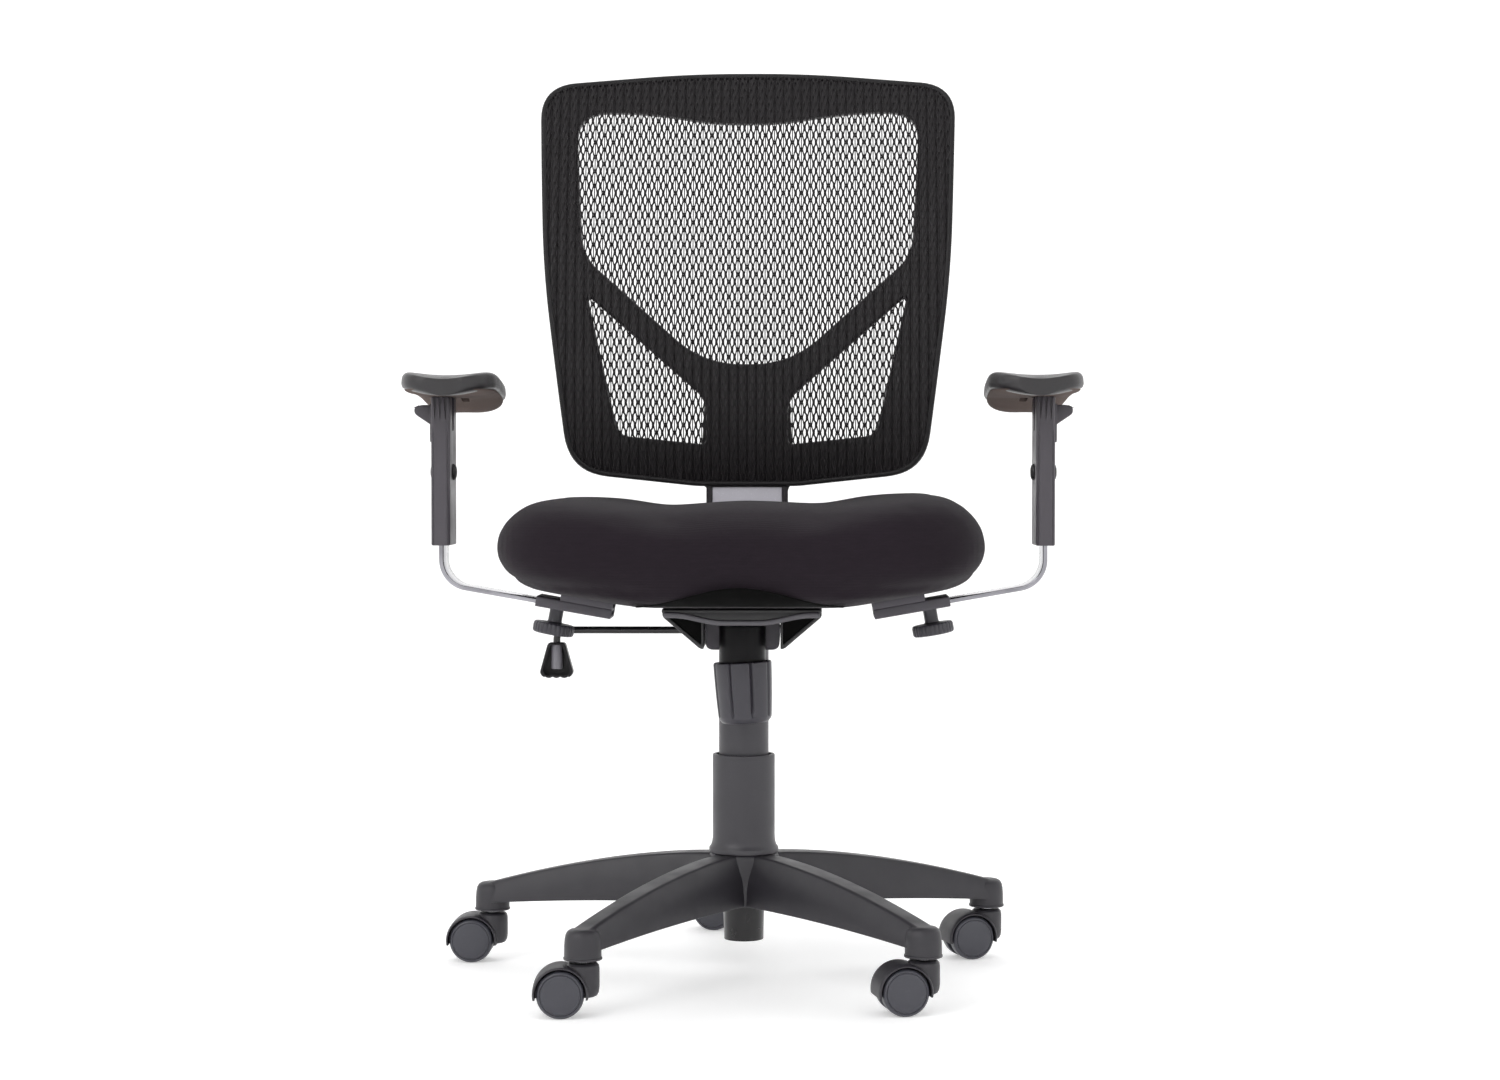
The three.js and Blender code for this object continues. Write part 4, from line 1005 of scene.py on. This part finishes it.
def fitted(piece, low, high):
    """Stretches a piece along each axis until it spans the box from low to high."""
    places = [vert.co for vert in piece.data.vertices]
    for axis in range(3):
        least, most = min(p[axis] for p in places), max(p[axis] for p in places)
        factor = (high[axis] - low[axis]) / (most - least)
        for p in places:
            p[axis] = low[axis] + (p[axis] - least) * factor
    return piece


def pan_rise(x, y):
    """How far the pan turns up towards its sides and its front."""
    return max(abs(x) - 110, 0) * PAN_SLOPE + 0.064 * max(-y - 60, 0)


def seat_pan():
    """Moulded pan under the foam, turned up on both sides."""
    plan = rounded([[-200, -216, 70], [200, -216, 70], [200, 160, 70], [-200, 160, 70]], 10)
    return prism("seat_board", plan, 416.3, 423.3, edge=2, plane="XY", grid=22,
                 shape=lambda p: Vector((p.x, p.y, p.z + pan_rise(p.x, p.y))))


def seat_shade_arch():
    """Near-black sheet that arches in front of the middle of the pan: painted shade under the front of the
    cushion.
    """
    ring = [[ARCH_HALF * u, ARCH_FOOT + 1.5 + ARCH_RISE * math.cos(math.pi / 2 * u) ** 2]
            for u in (k / 14 - 1 for k in range(29))]

    def curved(p):
        """Follows the rounded lower front of the cushion."""
        return Vector((p.x, p.y - 262 + 0.0003 * p.x * p.x + 0.0625 * (446 - p.z) ** 2, p.z))

    return prism("seat_shade_arch", ring, -5, 0, edge=1.2, grid=5, shape=curved)


def screw_heads(name, spots, radius, up=True, change=None):
    """Domed screws with a hexagon socket, standing on or hanging from the spots."""
    socket, tall = radius * 0.45, radius * 0.55
    heads = []
    for spot in spots:
        stand = Matrix.Translation(Vector(spot)) @ Matrix.Rotation(0 if up else math.pi, 4, "X")
        stand = change @ stand if change else stand
        profile = [[0, -1], [radius, -1], [radius, 0.15 * tall], [radius * 0.93, 0.45 * tall],
                   [radius * 0.75, 0.8 * tall], [socket * 1.25, tall], [socket, tall * 0.95],
                   [socket, 0.3 * tall], [0, 0.2 * tall]]
        heads.append(lathe(name, profile, stand, 36, radius_at=hexagonal(socket)))
    return merged(name, *heads)


pad = seat_cushion()
finish_piece(pad, BODY_OF["seat_cushion"], "seat_fabric", "seat_cushion")
# The pan and the arch in front of it are painted shade: near-black, standing for the shade under the
# cushion rather than their own colour.
finish_piece(seat_pan(), BODY_OF["seat_pan"], "shell_plastic", "seat_pan", look=SHADE_BLACK)
finish_piece(seat_shade_arch(), BODY_OF["seat_pan"], "shell_plastic", look=SHADE_BLACK)
plate_spots = [(x, y, 412) for x in (-62, 62) for y in (-100, 118)]
finish_piece(screw_heads("plate_screws", plate_spots, 6, up=False), BODY_OF["seat_plate"], "bright_steel")
board_spots = [(x, y, 416.3 + pan_rise(x, y)) for x in (-150, 150) for y in (-140, 110)]
finish_piece(screw_heads("board_studs", board_spots, 5, up=False), BODY_OF["seat_pan"], "bright_steel")


# ---------------------------------------------------------------- back
BACK_TOP, BACK_HALF, BACK_FOOT = 1050, 251, 548
LUMBAR_Y, LUMBAR_Z, BACK_BOW = 187, 670, 8
BAR_FRONT, BAR_THICK, BAR_HALF, BAR_TOP = 205, 6, 42, 650
FRAME_FRONT, FRAME_BACK = 3.2, 25.2


def back_depth(x, z):
    bend = 0.00062 if z > LUMBAR_Z else 0.0009
    return LUMBAR_Y + bend * (z - LUMBAR_Z) ** 2 - BACK_BOW * (x / BACK_HALF) ** 2


def on_back(p):
    return Vector((p.x, p.y + back_depth(p.x, p.z), p.z))


def back_outline(gap, steps=10):
    return rounded(mirrored([[70, BACK_TOP + 1 - gap, 60], [BACK_HALF + 1 - gap, BACK_TOP - 15 - gap, 40],
                             [BACK_HALF - 8 - gap, 805, 60], [213 - gap, 564 + gap, 44],
                             [60, BACK_FOOT + gap, 8]]), steps)


UPPER_WINDOW = mirrored([[40, 987, 30], [125, 1001, 40], [208, 1000, 38], [197, 824, 25], [52, 694, 46]])
LOWER_WINDOW = [[191, 776, 9], [154, 609, 14], [49, 598, 8], [49, 651, 16]]


def back_frame():
    windows = [rounded(UPPER_WINDOW, 10), rounded(LOWER_WINDOW),
               rounded([[-x, z, r] for x, z, r in LOWER_WINDOW])]
    frame_piece = prism("back_shell", back_outline(0.5), FRAME_FRONT, FRAME_BACK, windows, edge=5, grid=15,
                        shape=on_back, edge_steps=4)
    outline = rounded([[-49, 546, 0], [-56, 553, 0], [-56, 560, 0], [-49, 690, 4], [49, 690, 4],
                       [56, 560, 0], [56, 553, 0], [49, 546, 5], [49, 500, 3], [-49, 500, 3]])
    stem = prism("stem", outline, BAR_FRONT - 2, BAR_FRONT + BAR_THICK + 6, edge=1.8)
    combine(frame_piece, "UNION", stem)
    half = BAR_HALF + 0.3
    pocket = block(-half, half, BAR_FRONT - 0.3, BAR_FRONT + BAR_THICK + 0.3, 480, BAR_TOP + 3)
    mouth = block(-half, half, BAR_FRONT - 30, BAR_FRONT + 1, 480, 547)
    return combine(frame_piece, "DIFFERENCE", pocket, mouth)


def back_bar():
    """Flat steel bar bent up behind the seat."""
    low, rear, radius = 405.7, BAR_FRONT + BAR_THICK, 36
    centre = Vector((rear - radius, low + radius))

    def arc(r, order):
        return [centre + Vector((r * math.sin(a), -r * math.cos(a)))
                for a in (math.pi / 2 * k / 14 for k in order)]

    ring = [(66, low), *arc(radius, range(15)), (rear, BAR_TOP), (BAR_FRONT, BAR_TOP),
            *arc(radius - BAR_THICK, range(14, -1, -1)), (66, low + BAR_THICK)]
    return prism("spine_bar", ring, -BAR_HALF, BAR_HALF, edge=1.0, plane="YZ")


def edge_cord():
    """Welt that binds the net to the rim of the frame."""
    path = [on_back(Vector((p.x, 1.9, p.y))) for p in spread(back_outline(3.4), 12)]
    return sweep("back_welt", path, ellipse(3.3, 2.5, 12), loop=True, sharp=60)


COLUMN_PITCH, ROW_PITCH = 10.8, 18.0
NET_INSET, NET_LIFT = 4.0, 0.7


def net_spans(outline, x):
    """Lowest and highest height of the net's outline at one x."""
    heights = [a.y + (x - a.x) * (b.y - a.y) / (b.x - a.x)
               for a, b in zip(outline, outline[1:] + outline[:1]) if (a.x > x) != (b.x > x)]
    return (min(heights), max(heights)) if len(heights) > 1 else None


def strand(bm, outline, axis, offset, size, steps, sides, lift):
    """One upright yarn: offset gives its x from the axis for a height in rows, and lift is its depth."""
    span = net_spans(outline, axis)
    if not span or span[1] - span[0] < 12:
        return
    low, high = span
    first = math.ceil(low / ROW_PITCH * steps)
    last = math.floor(high / ROW_PITCH * steps)
    heights = [low] + [k * ROW_PITCH / steps for k in range(first, last + 1)] + [high]
    heights = [z for k, z in enumerate(heights) if k == 0 or z - heights[k - 1] > 0.4]
    rings = []
    for z in heights:
        x = axis + offset(z / ROW_PITCH)
        depth = back_depth(x, z) + NET_LIFT + lift
        turns = [2 * math.pi * (k + 0.25) / sides for k in range(sides)]
        rings.append([Vector((x + size[0] / 2 * math.cos(a), depth + size[1] / 2 * math.sin(a), z))
                      for a in turns])
    skin(bm, rings)


def net():
    """The woven back: thick yarns swing between columns, whose own yarns open into slits and cross."""
    outline = back_outline(NET_INSET)
    bm = bmesh.new()
    count = int(BACK_HALF / COLUMN_PITCH) + 1
    for column in range(-count, count + 1):
        axis = column * COLUMN_PITCH
        shift = 0.5 * (column % 2)

        def opening(row, shift=shift):
            """1 where this column's thin pair is open, 0 where it is closed."""
            return 0.5 - 0.5 * math.cos(2 * math.pi * (row + shift))

        def crossing(row, shift=shift):
            return math.sin(math.pi * (row + shift))

        strand(bm, outline, axis + COLUMN_PITCH / 2,
               lambda row: 1.2 - 2.4 * smoothstep(opening(row), 0.15, 0.85), (2.9, 1.2), 6, 4, 0.0)
        strand(bm, outline, axis, lambda row: 0.0, (1.5, 0.8), 1, 3, 0.3)
        for side in (-1, 1):
            strand(bm, outline, axis + side * 1.5,
                   lambda row, side=side: side * 1.8 * opening(row), (1.9, 0.9), 4, 3, -0.3)
            strand(bm, outline, axis,
                   lambda row, side=side: side * 3.3 * crossing(row), (1.25, 0.8), 4, 3, 0.35)
    return solid(bm, "back_net", 60)


finish_piece(back_frame(), BODY_OF["back_frame"], "shell_plastic", "back_frame", look=FRAME_BLACK)
weave, welt = net(), edge_cord()
finish_piece(weave, BODY_OF["back_mesh"], "mesh_fabric", "back_mesh")
finish_piece(welt, BODY_OF["back_mesh"], "mesh_fabric", look=PIPING)
finish_piece(back_bar(), BODY_OF["back_bar"], "grey_steel", "back_bar")
bar_spots = [(x, y, 405.7) for x in (-24, 24) for y in (84, 118)]
finish_piece(screw_heads("bar_screws", bar_spots, 6, up=False), BODY_OF["back_bar"], "bright_steel")
behind = Matrix.Translation((0, BAR_FRONT + BAR_THICK + 6, 0)) @ Matrix.Rotation(-math.pi / 2, 4, "X")
stem_spots = [(x, -z, 0) for x in (-24, 24) for z in (600, 640)]
finish_piece(screw_heads("stem_screws", stem_spots, 5.5, change=behind), BODY_OF["back_frame"],
             "bright_steel")


# ---------------------------------------------------------------- arms, drawn for the sitter's right
ARM_Y, ARM_X, ARM_SLOPE = -40, 333, math.radians(10)
BEND_RADIUS, STRAP_WIDTH, STRAP_THICK = 32, 50, 5
STRAP_INNER_X, STRAP_REF_X, STRAP_REF_Z, STRAP_TOP = 160, 228, 423, 642
KNOB_X = 206
POST_LOW, POST_TOP, POST_HALF, POST_DEPTH = 484, 648, 10.4, 62
BOLT_Z, HEIGHT_TRAVEL = 565, 60
PAD_X, PAD_SPLIT, PAD_Y, PAD_LENGTH = 320, 655, -25, 125


def strap_height(x):
    return STRAP_REF_Z + (x - STRAP_REF_X) * math.tan(ARM_SLOPE)


ON_STRAP = Matrix.Translation((-KNOB_X, ARM_Y, strap_height(KNOB_X))) @ Matrix.Rotation(ARM_SLOPE, 4, "Y")
AT_BOLT = along_x(ARM_Y, BOLT_Z) @ Matrix.Translation((0, 0, -ARM_X))


def strap_edge(offset, steps=16):
    sine, cosine = math.sin(ARM_SLOPE), math.cos(ARM_SLOPE)
    start = ARM_X - BEND_RADIUS + BEND_RADIUS * sine
    centre = Vector((ARM_X - BEND_RADIUS, strap_height(start) + BEND_RADIUS * cosine))
    points = [Vector((STRAP_INNER_X - offset * sine, strap_height(STRAP_INNER_X) + offset * cosine))]
    for k in range(steps + 1):
        angle = -math.pi / 2 + ARM_SLOPE + (math.pi / 2 - ARM_SLOPE) * k / steps
        points.append(centre + Vector((math.cos(angle), math.sin(angle))) * (BEND_RADIUS - offset))
    points.append(Vector((ARM_X - offset, STRAP_TOP)))
    return [Vector((-p.x, p.y)) for p in points]


def arm_strap():
    half = STRAP_THICK / 2
    ring = strap_edge(-half) + strap_edge(half)[::-1]
    strap = prism("arm_bar", ring, ARM_Y - STRAP_WIDTH / 2, ARM_Y + STRAP_WIDTH / 2, edge=0.9)
    slot = rounded([[-41, -4.7, 4.6], [31, -4.7, 4.6], [31, 4.7, 4.6], [-41, 4.7, 4.6]])
    width_slot = prism("slot", slot, -10, 10, plane="XY", change=ON_STRAP)
    height_slot = block(-ARM_X - 10, -ARM_X + 10, ARM_Y - 4, ARM_Y + 4, BOLT_Z - 4,
                        BOLT_Z + HEIGHT_TRAVEL + 4)
    return combine(strap, "DIFFERENCE", width_slot, height_slot)


def arm_bracket():
    """Folded channel that the strap slides in, with two feet up to the seat board."""
    outer = rounded([[-30, -5.8, 2.5], [30, -5.8, 2.5], [30, 5.8, 2.5], [-30, 5.8, 2.5]])
    way = [(-25.3, -2.8), (25.3, -2.8), (25.3, 2.8), (-25.3, 2.8)]
    channel = prism("arm_channel", outer, -22.5, 62, [way], edge=0.8, plane="YZ", change=ON_STRAP)
    combine(channel, "DIFFERENCE", cylinder(4.4, -20, 4.6, ON_STRAP, 32))
    feet = []
    for y in (-30, 24):
        foot = [(4, y), (62, y), (62, y + 6), (4, y + 6)]
        feet.append(prism("foot", foot, 5, 13.5, edge=0.8, plane="XY", change=ON_STRAP))
    return merged("arm_channel", channel, *feet)


def width_knob():
    """Fluted clamp wheel with a dished face, its neck and its screw."""
    def radius_at(radius, height, angle):
        if radius < 20:
            return radius
        return radius - 0.75 * (0.5 + 0.5 * math.cos(28 * angle)) ** 2

    profile = [[0, -33.4], [12, -33.6], [17, -34.4], [19.4, -35], [21.4, -34.6], [22.6, -33.4], [23, -31.6],
               [23, -25.4], [22.4, -23.4], [21, -22.4], [14, -22], [9.4, -21.6], [8, -20.8], [7.7, -19],
               [7.7, -6.8], [7.3, -6.2], [4, -6.2], [4, 4.2], [0, 4.2]]
    return lathe("width_grip", profile, ON_STRAP, 168, radius_at=radius_at)


def arm_post():
    """Post round the strap, with tapered grooves at its top and two thin ones down its front."""
    x0, x1 = -ARM_X - POST_HALF, -ARM_X + POST_HALF
    y0, y1 = ARM_Y - POST_DEPTH / 2, ARM_Y + POST_DEPTH / 2
    outline = rounded([[x0, y0, 4], [x1, y0, 4], [x1, y1, 4], [x0, y1, 4]])
    half = STRAP_THICK / 2 + 0.3
    way = [(-ARM_X - half, ARM_Y - 25.3), (-ARM_X + half, ARM_Y - 25.3),
           (-ARM_X + half, ARM_Y + 25.3), (-ARM_X - half, ARM_Y + 25.3)]
    post = prism("arm_sleeve", outline, POST_LOW, POST_TOP, [way], edge=1.6, plane="XY")
    grooves = [prism("groove", [(x - 2.3, 651), (x, 621), (x + 2.3, 651)], y0 - 3, y0 + 3)
               for x in (-ARM_X - 5.8, -ARM_X, -ARM_X + 5.8)]
    wedge = [(ARM_Y - 12, 651), (ARM_Y - 5, 611), (ARM_Y + 5, 611), (ARM_Y + 12, 651)]
    grooves.append(prism("groove", wedge, x1 - 3, x1 + 3, plane="YZ"))
    grooves += [block(x - 0.6, x + 0.6, y0 - 2, y0 + 1.3, POST_LOW - 2, 610) for x in (x0 + 2.6, x1 - 2.6)]
    return combine(post, "DIFFERENCE", *grooves, cylinder(3.3, -20, 20, AT_BOLT, 32))


def post_bolt():
    cap = POST_HALF + 0.3
    socket = 3.3
    end = [[3, cap], [9, cap], [9.2, cap + 0.6], [8.6, cap + 1.8], [7, cap + 2.9], [5, cap + 3.5],
           [3.6, cap + 3.6], [socket, cap + 3.2], [socket, cap + 1.4], [0, cap + 1.2]]
    profile = [[r, -z] for r, z in end[::-1]] + end
    return lathe("height_bolt", profile, AT_BOLT, 48, radius_at=hexagonal(socket))


def height_trigger():
    face = -ARM_X - POST_HALF - 0.3
    plate = prism("plate", rounded([[ARM_Y - 13, 598, 4], [ARM_Y + 13, 598, 4], [ARM_Y + 13, 641, 4],
                                    [ARM_Y - 13, 641, 4]]), face - 3, face, edge=0.8, plane="YZ")
    fin = rounded([[face - out, z, reach] for out, z, reach in (
        (1, 639.5, 0), (15, 639.5, 5), (21.5, 636.5, 3.5), (21, 629.5, 3.5), (9, 621.5, 7), (1, 616, 0))])
    return merged("height_lever", plate, prism("fin", fin, ARM_Y - 7, ARM_Y + 7, edge=1.4))


def pad_half(t):
    return (50 - 3.5 * t) * (1 - 0.93 * abs(t) ** 5) ** (1 / 3)


def pad_stations(count):
    return [math.sin(math.pi / 2 * (2 * k / count - 1)) for k in range(count + 1)]


def pad_top():
    """Soft top: dished along its middle, with full rounded edges and a chin over the front of the tray."""
    half_section = [[0, 0], [0.62, 0], [0.93, 0.6], [1.0, 4.5], [1.0, 9.5], [0.985, 14], [0.93, 17.6],
                    [0.84, 19], [0.66, 18.2], [0.42, 16.8], [0.2, 16.1], [0, 15.9]]
    section = through([*half_section, *[[-x, z] for x, z in half_section[-2:0:-1]]], 4)
    rings = []
    for t in pad_stations(60):
        tall = (1 - 0.75 * abs(t) ** 6) ** 0.5
        chin = 8 * smoothstep(-t, 0.55, 0.9)
        y = PAD_Y + PAD_LENGTH * t
        ring = []
        for x, z in section:
            height = 4 + (z - 4) * tall if z > 4 else z - chin * (1 - x * x) * (1 - z / 4)
            ring.append((-PAD_X + x * pad_half(t), y, PAD_SPLIT + height - droop(y)))
        rings.append(ring)
    return loft("arm_cushion", rings, sharp=50)


def droop(y):
    """How far the pad and its split with the tray sink towards the rear."""
    return 9 * smoothstep(y, -80, 95)


def shell_low(y):
    behind = smoothstep(y, ARM_Y + 38, 55)
    return POST_TOP + 0.3 - 15 * behind + 9 * smoothstep(y, 60, 100) + 3.5 * smoothstep(-y, 90, 150)


def pad_shell():
    corners = [[-1, 0], [-0.985, -0.2], [-0.93, -0.46], [-0.82, -0.7], [-0.66, -0.88], [-0.4, -1], [0, -1]]
    section = through(corners + [[-x, z] for x, z in corners[-2::-1]], 4, closed=False)
    rings = []
    for t in pad_stations(46):
        y = PAD_Y + PAD_LENGTH * t * 0.995
        top = PAD_SPLIT - 0.3 - droop(y)
        deep = top - shell_low(y)
        rings.append([(-PAD_X + x * pad_half(t) * 0.94, y, top + z * deep) for x, z in section])
    near, far = -PAD_X + 1, -PAD_X + 10
    corners = rounded([[near, 0, 3.5], [far, 0, 3.5], [far, 17, 3.5], [near, 17, 3.5]])
    slot = prism("slot", corners, 620, 650, plane="XY")
    return combine(loft("arm_tray", rings, sharp=50), "DIFFERENCE", slot)


def build_arms():
    """Each piece is drawn once, for the right, and mirrored for the left."""
    kinds = [
        (arm_strap, "arm_strap", "chrome", None), (arm_bracket, "arm_bracket", "stamped_steel", CAST_GREY),
        (width_knob, "width_knob", "knob_plastic", None), (arm_post, "arm_post", "arm_plastic", None),
        (post_bolt, "post_bolt", None, None), (height_trigger, "height_trigger", "arm_plastic", None),
        (pad_top, "pad_top", "pad_foam", None), (pad_shell, "pad_shell", "pad_underside", None),
    ]
    for draw, node, slot, look in kinds:
        right = draw()
        left = reflected(right, f"{right.name}_left")
        right.name = f"{right.name}_right"
        for piece, hand in ((right, "right"), (left, "left")):
            name = f"{node}_{hand}"
            finish_piece(piece, BODY_OF[name], SLOT_OF[name], name, look=look)


build_arms()


# ---------------------------------------------------------------- CAD nodes that stay
for node, piece in frame["nodes"].items():
    piece.data.materials.clear()
    piece.data.materials.append(LOOKS[SLOT_OF[node]])


# ---------------------------------------------------------------- floor and light
def studio():
    """A white floor that curves up into a white wall all round."""
    look = Look("studio_white")
    mottle = look.noise(3, 3)
    look.set(Base_Color=look.blend(mottle, (0.86, 0.86, 0.86, 1), (0.9, 0.9, 0.9, 1)))
    look.set(Roughness=look.fit(mottle, 0.3, 0.7, 0.6, 0.75))
    look.set(Emission_Color=(1, 1, 1, 1), Emission_Strength=0.3)
    flat, bend, tall, sides = 5, 1.5, 6, 96
    bends = [math.pi / 24 * k for k in range(13)]
    profile = [(flat + bend * math.sin(a), bend - bend * math.cos(a)) for a in bends]
    profile.append((flat + bend, tall))
    bm = bmesh.new()
    centre = bm.verts.new((0, 0, 0))
    turns = [2 * math.pi * k / sides for k in range(sides)]
    rows = [[bm.verts.new((r * math.cos(a), r * math.sin(a), z)) for a in turns] for r, z in profile]
    for k in range(sides):
        j = (k + 1) % sides
        bm.faces.new((centre, rows[0][k], rows[0][j]))
        for low, high in zip(rows, rows[1:]):
            bm.faces.new((low[k], high[k], high[j], low[j]))
    mesh = bpy.data.meshes.new("studio")
    bm.to_mesh(mesh)
    bm.free()
    floor = linked("studio", mesh)
    floor.data.materials.append(look.material)


LAMPS_AIM = Vector((0, 0, 0.55))


def lamp(name, place, size, power):
    data = bpy.data.lights.new(name, "AREA")
    data.shape = "RECTANGLE"
    data.size, data.size_y = size
    data.energy = power
    light = bpy.data.objects.new(name, data)
    bpy.context.collection.objects.link(light)
    light.location = place
    light.rotation_euler = (LAMPS_AIM - Vector(place)).to_track_quat("-Z", "Y").to_euler()


studio()
lamp("key", (-1.9, -2.4, 2.6), (2.2, 2.2), 38)
lamp("fill", (2.2, -2.4, 1.7), (2.0, 2.4), 6)
lamp("top", (0, 0.2, 3.4), (3.2, 3.2), 20)
lamp("rear", (0, 2.0, 2.8), (3.0, 1.6), 14)
world = bpy.data.worlds.new("studio_air")
world.use_nodes = True
world.node_tree.nodes["Background"].inputs["Color"].default_value = (1, 1, 1, 1)
world.node_tree.nodes["Background"].inputs["Strength"].default_value = 0.6
bpy.context.scene.world = world
bpy.context.scene.view_settings.view_transform = "Standard"
